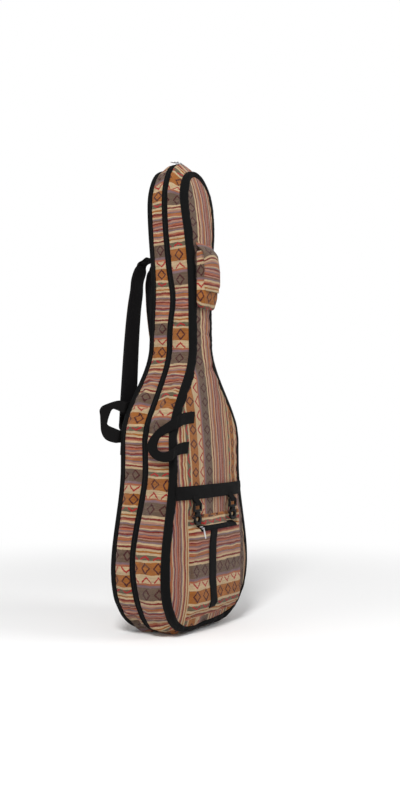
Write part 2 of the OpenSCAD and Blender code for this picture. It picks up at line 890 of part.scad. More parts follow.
back_panel();
back_foam();
back_lining();
rear_gusset();
rear_gusset_foam();
rear_gusset_lining();
rear_edge_binding();
rear_zip_tape();
rear_zip_coil();
rear_hinge_strip();
strap_anchor_patch();
strap_lower_tabs();
rear_handle_tabs();
front_panel();
front_foam();
front_lining();
front_gusset();
front_gusset_foam();
front_gusset_lining();
front_edge_binding();
front_zip_tape();
front_zip_coil();
front_hinge_strip();
front_band();
hook_loops();
front_handle_tabs();
pocket_face();
pocket_top_strip();
pocket_gusset();
pocket_center_strip();
pocket_zip_tape();
pocket_zip_coil();
pouch_body();
pouch_closure_patch();
zip_slider_left();
zip_pull_left();
zip_slider_right();
zip_pull_right();
pocket_zip_slider();
pocket_zip_pull();
pouch_flap();
flap_closure_patch();
front_handle_loop();
rear_handle_loop();
left_strap_pad();
left_strap_webbing();
left_strap_adjuster();
right_strap_pad();
right_strap_webbing();
right_strap_adjuster();
left_hook_eye();
left_hook_body();
left_hook_gate();
right_hook_eye();
right_hook_body();
right_hook_gate();
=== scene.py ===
"""Looks of the padded gig bag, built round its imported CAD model.

Every size is in millimetres in the CAD frame until a mesh is made; meshes are in metres.
The argument front says which half of the bag is meant: True for the front, False for the rear.
"""

import json
import math

import bmesh
import bpy
import numpy as np
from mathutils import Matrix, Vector, noise
from mathutils.bvhtree import BVHTree


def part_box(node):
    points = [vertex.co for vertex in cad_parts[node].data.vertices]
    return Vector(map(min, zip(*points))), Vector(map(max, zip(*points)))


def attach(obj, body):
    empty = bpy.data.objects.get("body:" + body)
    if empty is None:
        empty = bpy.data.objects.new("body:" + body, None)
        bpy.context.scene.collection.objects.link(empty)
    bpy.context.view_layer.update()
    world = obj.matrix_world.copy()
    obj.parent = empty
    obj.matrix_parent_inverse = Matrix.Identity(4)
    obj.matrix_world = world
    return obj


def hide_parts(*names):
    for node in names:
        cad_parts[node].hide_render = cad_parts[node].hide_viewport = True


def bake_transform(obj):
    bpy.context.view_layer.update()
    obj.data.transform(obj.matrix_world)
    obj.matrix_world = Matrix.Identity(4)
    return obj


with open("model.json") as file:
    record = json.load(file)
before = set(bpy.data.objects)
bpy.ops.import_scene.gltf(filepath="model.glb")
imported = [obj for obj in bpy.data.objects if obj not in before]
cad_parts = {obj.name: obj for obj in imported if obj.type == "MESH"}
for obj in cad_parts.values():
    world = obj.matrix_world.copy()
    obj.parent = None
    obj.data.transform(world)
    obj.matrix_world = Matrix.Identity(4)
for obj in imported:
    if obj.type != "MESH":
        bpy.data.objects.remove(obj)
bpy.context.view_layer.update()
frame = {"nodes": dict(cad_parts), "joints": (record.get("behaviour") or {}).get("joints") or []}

MM = 0.001
BODY = {True: "front_shell", False: "rear_shell"}
OUT = {True: -1, False: 1}  # the way along y that each half faces


# ---- reading the frame


def vertex_array(obj):
    """Vertices of an object's mesh, in metres."""
    co = np.zeros(len(obj.data.vertices) * 3)
    obj.data.vertices.foreach_get("co", co)
    return co.reshape(-1, 3)


def node_points(name):
    """Vertices of a CAD node, in millimetres."""
    return vertex_array(frame["nodes"][name]) / MM


def node_box(name):
    low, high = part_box(name)
    return np.array(low) / MM, np.array(high) / MM


def joint(name):
    """Position, in millimetres, and axis of a joint."""
    found = next(j for j in frame["joints"] if j["name"] == name)
    return np.array(found.get("pos_m", (0, 0, 0))) / MM, np.array(found["axis"])


def profile(name, column, pick):
    """Heights of a node's vertices, and the x or y that pick chooses at each height."""
    points = node_points(name)
    levels = np.unique(np.round(points[:, 2], 1))
    near = [points[np.abs(points[:, 2] - z) < 0.1, column] for z in levels]
    return levels, np.array([pick(values) for values in near])


def unit(vectors):
    """The same directions with a length of 1."""
    return vectors / np.linalg.norm(vectors, axis=-1, keepdims=True)


def run_length(points):
    """Distance along a line of points, from its start to each point."""
    return np.concatenate([[0], np.cumsum(np.linalg.norm(np.diff(points, axis=0), axis=1))])


def hermite(t, p, s):
    """Smooth curve through the points p, given at t, read at s."""
    slope = np.gradient(p, t, axis=0)
    i = np.clip(np.searchsorted(t, s, side="right") - 1, 0, len(t) - 2)
    h = (t[i + 1] - t[i])[:, None]
    x = ((s - t[i]) / (t[i + 1] - t[i]))[:, None]
    return (
        (2 * x**3 - 3 * x**2 + 1) * p[i]
        + (x**3 - 2 * x**2 + x) * h * slope[i]
        + (3 * x**2 - 2 * x**3) * p[i + 1]
        + (x**3 - x**2) * h * slope[i + 1]
    )


LEVELS, WIDTHS = profile("front_panel", 0, np.max)
RIGHT = np.vstack([[0.0, LEVELS[0]], np.column_stack([WIDTHS, LEVELS])])
TOP_Z = RIGHT[-1][1]
BOTTOM_Z = RIGHT[0][1]
FLAT_W = RIGHT[1][0]
ZIP_Y = joint("open_front")[0][1]
PROFILE = {True: profile("front_panel", 1, np.min), False: profile("back_panel", 1, np.max)}


def soft_interp(z, levels, values, reach=26.0):
    """The straight-sided profile with its corners rounded off."""
    offsets = np.linspace(-reach, reach, 7)
    return sum(np.interp(z + o, levels, values) for o in offsets) / len(offsets)


def rim_y(z, front):
    """The y of a panel's rim at a height."""
    return soft_interp(z, *PROFILE[front])


def smoothstep(x, low, high):
    """0 below low, 1 above high, with a smooth rise between them."""
    t = np.clip((x - low) / (high - low), 0, 1)
    return t * t * (3 - 2 * t)


def hill(z, middle, reach):
    """1 in the middle, fading smoothly to 0 on both sides."""
    return np.exp(-(((z - middle) / reach) ** 2))


def resample_outline(step):
    """Closed outline at an even spacing: points, outward normals and arc length from the crown."""
    left = RIGHT[-2::-1] * [-1, 1]
    loop = np.vstack([RIGHT, left])
    lead = 3
    ring = np.vstack([loop[-lead - 1:-1], loop, loop[1:lead + 1]])
    t = run_length(ring)
    begin, end = t[lead], t[lead + len(loop) - 1]
    count = int((end - begin) / step)
    s = np.linspace(begin, end, count, endpoint=False)
    points = hermite(t, ring, s)
    ahead = unit(np.roll(points, -1, 0) - np.roll(points, 1, 0))
    normals = np.column_stack([ahead[:, 1], -ahead[:, 0]])
    crown = begin + (end - begin) / 2
    return points, normals, np.abs(s - crown)


LOOP_STEP = 4.0
LOOP, LOOP_NORMAL, LOOP_ARC = resample_outline(LOOP_STEP)
SINK = {True: 22.0, False: 11.0}
RAISE = {True: 7.0, False: 3.0}


def edge_loop(front):
    """Outline of a front or rear seam: lower than the zip at the head, higher at the bottom."""
    z = LOOP[:, 1]
    shift = RAISE[front] * (1 - smoothstep(z, BOTTOM_Z, 85))
    shift = shift - SINK[front] * smoothstep(z, TOP_Z - 130, TOP_Z)
    return np.column_stack([LOOP[:, 0], z + shift])


def zip_meander(points):
    """How far the soft zip strays from its plane: below 0 is towards the front."""
    x, z = points[:, 0], points[:, 1]
    left = -9 * hill(z, 745, 48) - 4 * hill(z, 360, 70)
    left += 6 * hill(z, 185, 95) - 5 * hill(z, 500, 60)
    right = -5 * hill(z, 700, 70) + 4 * hill(z, 400, 80)
    keep = smoothstep(z, 60, 150) * smoothstep(-z, -(TOP_Z - 60), -(TOP_Z - 170))
    return np.where(x < 0, left, right) * keep


ZIP_LINE = ZIP_Y + zip_meander(LOOP)
EDGES = {True: edge_loop(True), False: edge_loop(False)}


def right_rows(ring, least):
    """(half width, height) rows of the right half of a ring, from the flat bottom up."""
    bottom = ring[:, 1].min()
    right = ring[(ring[:, 0] > least) & (ring[:, 1] > bottom + 0.05)]
    right = right[np.argsort(right[:, 1])]
    right = right[np.concatenate([[True], np.diff(right[:, 1]) > 0.6])]
    return np.vstack([[FLAT_W, bottom], right])


def panel_rows(front):
    """Rows of a panel, one for each height of its seam, with a narrow last one at the top."""
    edge = EDGES[front]
    return np.vstack([right_rows(edge, 0.2), [0.4, edge[:, 1].max() + 0.05]])


ROWS = {True: panel_rows(True), False: panel_rows(False)}


def half_width(z, front=True):
    """Half width of a panel at a height."""
    return np.interp(z, ROWS[front][:, 1], ROWS[front][:, 0])


def puff(x, z, height, front):
    """How far padding pushes a panel out at a point: nothing at the seam, most in the middle."""
    u = np.clip(np.abs(x) / np.maximum(half_width(z, front), 1), 0, 1)
    top = ROWS[front][-1, 1]
    ends = smoothstep(z, BOTTOM_Z, 90) * smoothstep(top - z, 2, 80)
    full = np.interp(z, [0, 300, 460, 640, 900], [1, 1, 0.85, 0.5, 0.6])
    return height * full * ends * (1 - u**2.4) ** 0.8


PUFF = {True: 8.5, False: 6.0}
LUMPS = {  # (seed, size, height) of the wide and the narrow lumps
    True: ((1, 85, 1.8), (3, 34, 0.8)),
    False: ((2, 95, 1.8), (4, 38, 0.8)),
}


def lumps(x, z, seed, scale, amount):
    """Smooth uneven lumps, as padding has."""
    flat = np.broadcast_arrays(x, z)
    points = zip(flat[0].ravel(), flat[1].ravel())
    values = [noise.noise(Vector((a / scale, seed * 17.3, b / scale))) for a, b in points]
    return amount * np.array(values).reshape(flat[0].shape)


def padded_surface(x, z, front):
    """The y of a padded panel's outside at a point."""
    wide, narrow = LUMPS[front]
    uneven = lumps(x, z, *wide) + lumps(x, z, *narrow)
    fade = np.clip((half_width(z, front) - np.abs(x)) / 30, 0, 1)
    out = OUT[front]
    return rim_y(z, front) + out * puff(x, z, PUFF[front], front) + out * uneven * fade


# ---- meshes


def add_object(name, data):
    """A new object in the scene that shows a mesh, a light or a camera."""
    obj = bpy.data.objects.new(name, data)
    bpy.context.scene.collection.objects.link(obj)
    return obj


def make_object(name, vertices, faces, cloth=None, smooth=True):
    """A mesh object from millimetre vertices; cloth holds a weave coordinate for each vertex."""
    mesh = bpy.data.meshes.new(name)
    mesh.from_pydata([tuple(v) for v in np.asarray(vertices) * MM], [], faces)
    if cloth is not None:
        layer = mesh.attributes.new("cloth", "FLOAT_VECTOR", "POINT")
        full = np.zeros((len(vertices), 3), np.float32)
        full[:, :2] = cloth
        layer.data.foreach_set("vector", full.ravel())
    mesh.polygons.foreach_set("use_smooth", [smooth] * len(faces))
    mesh.update()
    return add_object(name, mesh)


def grid_faces(rows, cols, wrap_rows=False, wrap_cols=False, flip=False):
    faces = []
    for i in range(rows if wrap_rows else rows - 1):
        for j in range(cols if wrap_cols else cols - 1):
            a, b = i * cols + j, i * cols + (j + 1) % cols
            c, d = ((i + 1) % rows) * cols + (j + 1) % cols, ((i + 1) % rows) * cols + j
            faces.append((d, c, b, a) if flip else (a, b, c, d))
    return faces


def sheet(name, points, cloth, wrap=False, flip=False, thick=0.0):
    """A sheet of quads through a (rows, columns, 3) grid, with an even thickness if asked."""
    faces = grid_faces(*points.shape[:2], wrap_rows=wrap, flip=flip)
    obj = make_object(name, points.reshape(-1, 3), faces, cloth.reshape(-1, 2))
    return thicken(obj, thick) if thick else obj


def thicken(obj, thick):
    solid = obj.modifiers.new("thickness", "SOLIDIFY")
    solid.thickness = thick * MM
    solid.offset = -1.0
    solid.use_even_offset = False
    return apply_modifiers(obj)


def apply_modifiers(obj):
    depsgraph = bpy.context.evaluated_depsgraph_get()
    evaluated = obj.evaluated_get(depsgraph)
    mesh = bpy.data.meshes.new_from_object(evaluated, depsgraph=depsgraph)
    obj.modifiers.clear()
    obj.data = mesh
    return obj


def tube(name, centers, side_dirs, up_dirs, outline, closed=False):
    """Sweeps a closed outline of (side, up) points along centers, with end caps if it is open."""
    rows, cols = len(centers), len(outline)
    points = (
        centers[:, None, :]
        + side_dirs[:, None, :] * outline[None, :, 0, None]
        + up_dirs[:, None, :] * outline[None, :, 1, None]
    )
    faces = grid_faces(rows, cols, wrap_rows=closed, wrap_cols=True)
    if not closed:
        faces.append(tuple(range(cols - 1, -1, -1)))
        faces.append(tuple(range((rows - 1) * cols, rows * cols)))
    along = run_length(centers)[:, None]
    cloth = np.stack(np.broadcast_arrays(outline[None, :, 0], along), -1)
    return fix_normals(make_object(name, points.reshape(-1, 3), faces, cloth.reshape(-1, 2)))


def rework(obj, change):
    """Passes the object's mesh through change, a function of a bmesh."""
    work = bmesh.new()
    work.from_mesh(obj.data)
    change(work)
    work.to_mesh(obj.data)
    work.free()
    obj.data.update()
    return obj


def fix_normals(obj):
    return rework(obj, lambda work: bmesh.ops.recalc_face_normals(work, faces=work.faces))


def soften_edges(obj, width, segments):
    """Gives an object a bevel on its sharp edges."""
    bevel = obj.modifiers.new("soft_edges", "BEVEL")
    bevel.width = width * MM
    bevel.segments = segments
    bevel.limit_method = "ANGLE"


def rounded_bar(width, thick, edge=None):
    """Outline of a flat strip with rounded edges, as (side, up) points."""
    r = min(edge or thick / 2, thick / 2)
    a = np.linspace(0, math.pi / 2, 4)
    quarter = np.column_stack([np.cos(a), np.sin(a)]) * r + [width / 2 - r, thick / 2 - r]
    across = np.linspace(0.6, -0.6, 5)[:, None] * [width / 2, 0] + [0, thick / 2]
    top = np.vstack([quarter, across, quarter[::-1] * [-1, 1]])
    return np.vstack([top, top[::-1] * [1, -1]])


def webbing(name, line, across, width, thick):
    """A flat strip swept along a line; across holds the direction of its width."""
    up = np.cross(across, unit(np.gradient(line, axis=0)))
    return tube(name, line, across, up, rounded_bar(width, thick))


def smooth_path(points, count):
    """A smooth line of evenly spaced points through a few given ones."""
    points = np.asarray(points, float)
    t = run_length(points)
    return hermite(t, points, np.linspace(0, t[-1], count))


SETTLING_FRAMES = 20


def inflate(obj, pinned, pressure, cap, swell):
    """Runs a short cloth simulation with air pressure and extra cloth, which puckers it.

    No point ends further than cap millimetres from its start.
    """
    group = obj.vertex_groups.new(name="pin")
    group.add([int(i) for i in np.nonzero(pinned)[0]], 1.0, "REPLACE")
    start = vertex_array(obj)
    cloth = obj.modifiers.new("cloth", "CLOTH")
    settings = cloth.settings
    settings.quality = 6
    settings.mass = 0.3
    settings.tension_stiffness = 20
    settings.compression_stiffness = 20
    settings.shear_stiffness = 6
    settings.bending_stiffness = 0.25
    settings.air_damping = 3
    settings.vertex_group_mass = "pin"
    settings.use_pressure = True
    settings.uniform_pressure_force = pressure
    settings.shrink_min = -swell
    settings.effector_weights.gravity = 0
    cloth.collision_settings.use_collision = False
    cloth.point_cache.frame_start = 1
    cloth.point_cache.frame_end = SETTLING_FRAMES
    scene = bpy.context.scene
    for step in range(1, SETTLING_FRAMES + 1):
        scene.frame_set(step)
    apply_modifiers(obj)
    scene.frame_set(1)
    move = vertex_array(obj) - start
    length = np.linalg.norm(move, axis=1)[:, None]
    soft = cap * MM * np.tanh(length / (cap * MM))
    set_vertices(obj, start + move * soft / np.maximum(length, 1e-9))


def set_vertices(obj, points):
    obj.data.vertices.foreach_set("co", points.astype(np.float32).ravel())
    obj.data.update()
    return obj


def refine(obj):
    obj.modifiers.new("refine", "SUBSURF").levels = 1
    return apply_modifiers(obj)


def skin_of(obj, front, fallback):
    """Function that gives the y of the object's outer face at (x, z), in millimetres."""
    tree = BVHTree.FromObject(obj, bpy.context.evaluated_depsgraph_get())
    way = Vector((0, 1.0 if front else -1.0, 0))
    start_y = -0.5 if front else 0.5

    def surface(x, z):
        xs, zs = np.broadcast_arrays(np.asarray(x, float), np.asarray(z, float))
        out = np.array(fallback(xs, zs), float)
        flat = out.ravel()
        for k, (a, b) in enumerate(zip(xs.ravel(), zs.ravel())):
            hit = tree.ray_cast(Vector((a * MM, start_y, b * MM)), way)[0]
            if hit is not None:
                flat[k] = hit.y / MM
        return flat.reshape(out.shape)

    return surface


def spot(surface, x, z):
    """The y of a surface at one point."""
    return float(surface(np.array([x]), np.array([z]))[0])


def join(name, objects):
    """Makes one piece of several meshes that share their materials."""
    work = bmesh.new()
    for obj in objects:
        work.from_mesh(obj.data)
    mesh = bpy.data.meshes.new(name)
    work.to_mesh(mesh)
    work.free()
    for material in objects[0].data.materials:
        mesh.materials.append(material)
    for obj in objects:
        bpy.data.objects.remove(obj)
    return add_object(name, mesh)


def paint(obj, *materials):
    for material in materials:
        obj.data.materials.append(material)
    return obj


def finish_piece(obj, body, slot_name, *nodes):
    """Paints the object with its slot's look if it has no material, hangs it on its body (unless body
    is None) and hides its CAD nodes.
    """
    if not obj.data.materials:
        paint(obj, LOOKS[slot_name])
    if body:
        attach(obj, body)
    if nodes:
        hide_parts(*nodes)


def bend_over(obj):
    """Bakes the object's transform into its mesh."""
    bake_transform(obj)


def stitches(path, outward):
    """Short thread stitches along a path; outward is the surface's direction at each point."""
    spacing, length, radius = 3.6, 2.3, 0.42
    run = run_length(path)

    def read(values, at):
        return np.column_stack([np.interp(at, run, values[:, k]) for k in range(3)])

    at = np.arange(1.0, run[-1] - length, spacing)
    first, last = read(path, at), read(path, at + length)
    out = read(np.broadcast_to(np.asarray(outward, float), path.shape), at)
    side = unit(np.cross(last - first, out))
    vertices, faces = [], []
    for a, b, w, o in zip(first, last, side, out):
        base = len(vertices)
        vertices.append(a)
        for share in (0.25, 0.75):
            mid = a + (b - a) * share
            vertices += [mid + w * radius, mid + o * radius, mid - w * radius, mid - o * radius]
        vertices.append(b)
        for k in range(4):
            near, far = base + 1 + k, base + 1 + (k + 1) % 4
            faces += [(base, far, near), (near, far, far + 4, near + 4), (near + 4, far + 4, base + 9)]
    obj = make_object("row", vertices, faces, np.zeros((len(vertices), 2)))
    return paint(fix_normals(obj), THREAD)


# ---- materials


def srgb(r, g, b):
    """Linear colour of an 8-bit colour as the eye sees it."""
    def channel(c):
        c /= 255
        return c / 12.92 if c <= 0.04045 else ((c + 0.055) / 1.055) ** 2.4

    return (channel(r), channel(g), channel(b), 1.0)


CREAM = srgb(210, 182, 142)
OCHRE = srgb(172, 104, 44)
GREY = srgb(112, 90, 74)
GREEN_GREY = srgb(108, 97, 74)
DARK_RED = srgb(132, 44, 38)
RED = srgb(178, 42, 42)
PLUM = srgb(74, 26, 30)
SALMON = srgb(178, 104, 74)
PINK = srgb(188, 138, 116)
LILAC = srgb(134, 108, 112)
BROWN = srgb(128, 84, 60)

TONE = 0.62
REPEAT = 183.0
MOTIF_PITCH = 31.0
QUILT = 70.0
GREY_BAND = (0.0, 27.0)
ZIGZAG_BAND = (112.0, 122.0)
OCHRE_BAND = (127.0, 154.0)
CHEVRON_BAND = (157.0, 172.0)
STRIPES = [
    (0, GREY), (27, CREAM), (31.5, DARK_RED), (36, CREAM), (40, PINK), (44, LILAC), (47, OCHRE),
    (50, SALMON), (54, CREAM), (57, LILAC), (60, DARK_RED), (63, PINK), (67, LILAC), (70, SALMON),
    (74, DARK_RED), (77, PINK), (80, BROWN), (83, LILAC), (87, CREAM), (91, SALMON),
    (95, DARK_RED), (99, CREAM), (103, OCHRE), (107, CREAM), (112, GREEN_GREY), (122, CREAM),
    (127, OCHRE), (154, CREAM), (172, SALMON), (176, LILAC), (181, GREY),
]


class Nodes:
    """A thin wrapper that makes shader nodes from short calls."""

    def __init__(self, name):
        self.material = bpy.data.materials.new(name)
        self.material.use_nodes = True
        self.tree = self.material.node_tree
        self.bsdf = self.tree.nodes["Principled BSDF"]

    def new(self, kind, **values):
        node = self.tree.nodes.new(kind)
        for key, value in values.items():
            setattr(node, key, value)
        return node

    def link(self, source, target):
        if isinstance(source, (int, float, tuple)):
            target.default_value = source
        else:
            self.tree.links.new(source, target)

    def join(self, node, values):
        """Feeds the values to the node's inputs in turn, and gives its first output."""
        for value, socket in zip(values, node.inputs):
            self.link(value, socket)
        return node.outputs[0]

    def math(self, operation, a, b=0.0):
        return self.join(self.new("ShaderNodeMath", operation=operation), (a, b))

    def add(self, a, b):
        return self.math("ADD", a, b)

    def sub(self, a, b):
        return self.math("SUBTRACT", a, b)

    def mul(self, a, b):
        return self.math("MULTIPLY", a, b)

    def inside(self, value, low, high):
        above = self.math("GREATER_THAN", value, low)
        return self.mul(above, self.math("LESS_THAN", value, high))

    def half(self, value):
        """The value less a half, as noise swings about a half."""
        return self.sub(value, 0.5)

    def cycle(self, value, length):
        """How far the value has come through a repeat of a length, from 0 to 1."""
        return self.math("FRACT", self.math("DIVIDE", value, length))

    def steps(self, value, size):
        return self.mul(self.math("FLOOR", self.math("DIVIDE", value, size)), size)

    def wave(self, value, length):
        return self.math("SINE", self.mul(value, 2 * math.pi / length))

    def noise(self, vector, scale, detail=2.0, rough=0.5):
        node = self.new("ShaderNodeTexNoise")
        node.inputs["Scale"].default_value = scale
        node.inputs["Detail"].default_value = detail
        node.inputs["Roughness"].default_value = rough
        self.tree.links.new(vector, node.inputs["Vector"])
        return node.outputs["Fac"]

    def weave(self, u, v, fine_u, fine_v, detail=2.0, rough=0.5):
        """Noise stretched along the weave's two directions."""
        vector = self.vector(self.mul(u, fine_u), self.mul(v, fine_v))
        return self.noise(vector, 1.0, detail, rough)

    def vector(self, x, y):
        return self.join(self.new("ShaderNodeCombineXYZ"), (x, y))

    def mix(self, factor, a, b, blend="MIX"):
        node = self.new("ShaderNodeMix", data_type="RGBA", blend_type=blend)
        self.link(factor, node.inputs["Factor"])
        self.link(a, node.inputs["A"])
        self.link(b, node.inputs["B"])
        return node.outputs["Result"]

    def cloth_coordinates(self):
        """(across, along) weave coordinates of the piece, in millimetres."""
        attribute = self.new("ShaderNodeAttribute", attribute_name="cloth")
        split = self.new("ShaderNodeSeparateXYZ")
        self.tree.links.new(attribute.outputs["Vector"], split.inputs[0])
        return split.outputs["X"], split.outputs["Y"]

    def solid(self, scale, detail, rough=0.5):
        """Noise in the object's own space."""
        place = self.new("ShaderNodeTexCoord").outputs["Object"]
        return self.noise(place, scale, detail, rough)

    def look(self, colour, rough=None):
        """Sets the base colour and, if it varies, the roughness."""
        self.tree.links.new(colour, self.bsdf.inputs["Base Color"])
        if rough is not None:
            self.tree.links.new(rough, self.bsdf.inputs["Roughness"])

    def bump(self, height, strength, distance):
        node = self.new("ShaderNodeBump")
        node.inputs["Strength"].default_value = strength
        node.inputs["Distance"].default_value = distance * MM
        self.tree.links.new(height, node.inputs["Height"])
        self.tree.links.new(node.outputs[0], self.bsdf.inputs["Normal"])

    def set(self, **values):
        for key, value in values.items():
            self.bsdf.inputs[key.replace("_", " ")].default_value = value


YARN_U = 1.5
YARN_V = 1.1


def woven_cloth():
    """Coarse cotton in bands: fine stripes, bands of diamonds, chevrons and a zigzag."""
    n = Nodes("woven_cloth")
    u, v = n.cloth_coordinates()
    wobble = n.half(n.weave(u, v, 0.03, 0.03))
    fine_wobble = n.half(n.weave(u, v, 0.35, 0.35))
    v_soft = n.add(v, n.add(n.mul(wobble, 6.5), n.mul(fine_wobble, 2.2)))

    ramp = n.new("ShaderNodeValToRGB")
    ramp.color_ramp.interpolation = "CONSTANT"
    stops = ramp.color_ramp.elements
    while len(stops) < len(STRIPES):
        stops.new(1.0)
    for stop, (position, colour) in zip(stops, STRIPES):
        stop.position = position / REPEAT
        stop.color = colour
    n.link(n.cycle(v_soft, REPEAT), ramp.inputs[0])
    colour = ramp.outputs["Color"]

    # Motifs are drawn in steps of one yarn, so that their edges look woven.
    stepped = n.mul(n.cycle(n.steps(v_soft, YARN_V), REPEAT), REPEAT)
    turn = n.cycle(n.steps(u, YARN_U), MOTIF_PITCH)
    across = n.math("ABSOLUTE", n.mul(n.half(turn), MOTIF_PITCH))
    for low, high in (GREY_BAND, OCHRE_BAND):
        off = n.math("ABSOLUTE", n.sub(stepped, (low + high) / 2))
        reach = n.add(n.math("DIVIDE", across, 10.5), n.math("DIVIDE", off, 12.5))
        diamond = n.mul(n.inside(reach, 0.70, 1.08), n.inside(stepped, low, high))
        colour = n.mix(diamond, colour, PLUM)
    zigzags = ((ZIGZAG_BAND, 0.55, 2.4, 11.5), (CHEVRON_BAND, 0.95, 2.6, 12))
    for (low, high), slope, start, wide in zigzags:
        line = n.sub(n.sub(stepped, low + start), n.mul(across, slope))
        stroke = n.mul(n.inside(line, -2.3, 2.3), n.inside(stepped, low, high))
        stroke = n.mul(stroke, n.math("LESS_THAN", across, wide))
        colour = n.mix(stroke, colour, RED)

    # Slubs: yarns that run across the band vary in tone, and a few coarse flecks break through.
    yarn = n.weave(u, v, 0.05, 0.9)
    fleck = n.weave(u, v, 0.5, 0.9, 3.0, 0.7)
    colour = n.mix(n.mul(n.inside(fleck, 0.60, 1.0), 0.5), colour, BROWN)
    colour = n.mix(n.mul(n.inside(fleck, 0.0, 0.36), 0.3), colour, CREAM)
    streak = n.mul(n.half(n.weave(u, v, 0.02, 0.42)), 0.75)
    thread = n.add(streak, n.mul(n.wave(v, 2 * YARN_V), 0.16))
    grain = n.mul(n.add(n.mul(yarn, 1.5), n.mul(fleck, 0.9)), 0.62)
    soil = n.mul(n.solid(11.0, 3.0), 0.22)
    tone = n.mul(TONE, n.sub(n.add(n.add(0.42, grain), thread), soil))
    grey_tone = n.join(n.new("ShaderNodeCombineColor"), (tone, tone, tone))
    colour = n.mix(1.0, colour, grey_tone, "MULTIPLY")

    knit = n.mul(n.wave(u, YARN_U), n.wave(v, YARN_V))
    n.bump(n.add(n.mul(knit, 0.5), n.mul(fleck, 1.6)), 0.8, 0.6)
    n.look(colour, n.add(0.78, n.mul(fleck, 0.2)))
    n.set(Sheen_Weight=0.12, Sheen_Roughness=0.5, Specular_IOR_Level=0.15)
    return n.material


def lighter(shade, factor):
    return tuple(min(1.0, c * factor) for c in shade[:3]) + (1.0,)


def black_tape(name, shade, rib, slant=0.0, sheen=0.018):
    """Black ribbed tape or webbing: ribs across it, dusty highs and a dull weave."""
    n = Nodes(name)
    u, v = n.cloth_coordinates()
    dust = n.solid(60.0, 4.0, 0.65)
    broad = n.solid(14.0, 2.0)
    colour = n.mix(n.mul(dust, broad), shade, lighter(shade, 1.9))
    ribs = n.wave(n.add(v, n.mul(u, slant)), rib)
    n.bump(n.add(ribs, n.add(n.mul(n.wave(u, 1.8), 0.5), dust)), 0.45, 0.35)
    n.look(colour, n.add(0.62, n.mul(dust, 0.3)))
    n.set(Sheen_Weight=sheen, Sheen_Roughness=0.4, Specular_IOR_Level=0.07)
    return n.material


def moulded_plastic(name, shade, rough):
    """Fine-grained black plastic with paler scuffs."""
    n = Nodes(name)
    grain = n.solid(900.0, 3.0)
    scuff = n.solid(90.0, 4.0, 0.6)
    colour = n.mix(n.mul(n.inside(scuff, 0.58, 1.0), 0.5), shade, lighter(shade, 2.2))
    n.look(colour, n.add(rough, n.mul(scuff, 0.2)))
    n.bump(grain, 0.25, 0.1)
    n.set(Specular_IOR_Level=0.25)
    return n.material


def plated_metal():
    """Bright plating with fine scratches."""
    n = Nodes("plated_metal")
    scratch = n.solid(400.0, 4.0, 0.7)
    colour = n.mix(n.solid(120.0, 2.0), srgb(196, 196, 200), srgb(226, 226, 228))
    n.look(colour, n.add(0.2, n.mul(scratch, 0.22)))
    n.bump(scratch, 0.15, 0.05)
    n.set(Metallic=1.0)
    return n.material


def lining_cloth():
    """Plain black taffeta, quilted to the foam in a wide diamond."""
    n = Nodes("lining_cloth")
    u, v = n.cloth_coordinates()
    n.look(n.mix(n.weave(u, v, 1.4, 0.06), srgb(15, 15, 17), srgb(30, 30, 32)))
    quilt = [n.math("ABSOLUTE", n.half(n.cycle(n.add(u, n.mul(v, way)), QUILT))) for way in (1, -1)]
    groove = n.math("MAXIMUM", *quilt)
    n.bump(n.add(n.mul(n.sub(0.5, groove), 30.0), n.mul(n.wave(u, 1.0), 0.25)), 0.7, 0.4)
    n.set(Roughness=0.6, Sheen_Weight=0.08, Specular_IOR_Level=0.25)
    return n.material


CLOTH = woven_cloth()
BINDING = black_tape("binding_tape", srgb(10, 10, 10), 1.6)
WEBBING = black_tape("black_webbing", srgb(11, 10, 10), 2.4, slant=0.6)
PAD_MESH = black_tape("strap_backing", srgb(13, 12, 13), 3.2, slant=-0.5, sheen=0.03)
COIL = moulded_plastic("zip_coil_plastic", srgb(13, 13, 13), 0.6)
PLASTIC = moulded_plastic("hook_plastic", srgb(8, 8, 8), 0.5)
METAL = plated_metal()
LINING = lining_cloth()
THREAD = black_tape("sewing_thread", srgb(40, 38, 37), 0.8)
LOOKS = {
    "woven_cloth": CLOTH, "black_binding": BINDING, "black_webbing": WEBBING,
    "zip_coil": COIL, "silver_metal": METAL, "lining": LINING,
}


# ---- the two shells

GREY_CENTRE = (GREY_BAND[0] + GREY_BAND[1]) / 2
# Where the middle of the grey band lies: a distance left of the bag's middle on the panels,
# and heights on the other pieces.
PANEL_BAND_X = 12
WALL_BAND_Z = {True: 968, False: 856}
POCKET_BAND_Z = 142.0
POUCH_BAND_Z = 805.0
WALL_STRETCH = {True: 1.02, False: 1.035}
HOOK_CLEARANCE = 13.0
TOOTH_PITCH = 2.7
PADDED_WALL = 8.0
HINGE_TOP = BOTTOM_Z + 25


def arc_at_height(z):
    """Arc length from the crown down to a height on the outline."""
    right = LOOP[:, 0] >= 0
    heights, arcs = LOOP[right, 1], LOOP_ARC[right]
    order = np.argsort(heights)
    return float(np.interp(z, heights[order], arcs[order]))


def lay(ring, y):
    """Points (x, y, z) from (x, z) points and their y."""
    return np.stack([ring[..., 0], y, ring[..., 1]], -1)


def panel_grid(surface, front, columns=43):
    """Rows of points from side to side, one row for each height of the seam."""
    rows = ROWS[front]
    bend = math.pi / 2 * 0.8
    u = np.sin(np.linspace(-1, 1, columns) * bend) / math.sin(bend)
    x = rows[:, :1] * u
    z = np.repeat(rows[:, 1:], columns, 1)
    return np.stack([x, surface(x, z), z], -1)


def panel_cloth(points, lean):
    """Weave coordinates of a panel whose bands run up and down."""
    x, z = points[..., 0], points[..., 2]
    drift = lean * (0.05 * np.clip(z - 340, 0, 360) + 0.05 * np.clip(z - 700, 0, None))
    stretch = 1 + 0.0015 * np.clip(x, 0, None)
    return np.stack([z, (x + PANEL_BAND_X + drift) * stretch + GREY_CENTRE], -1)


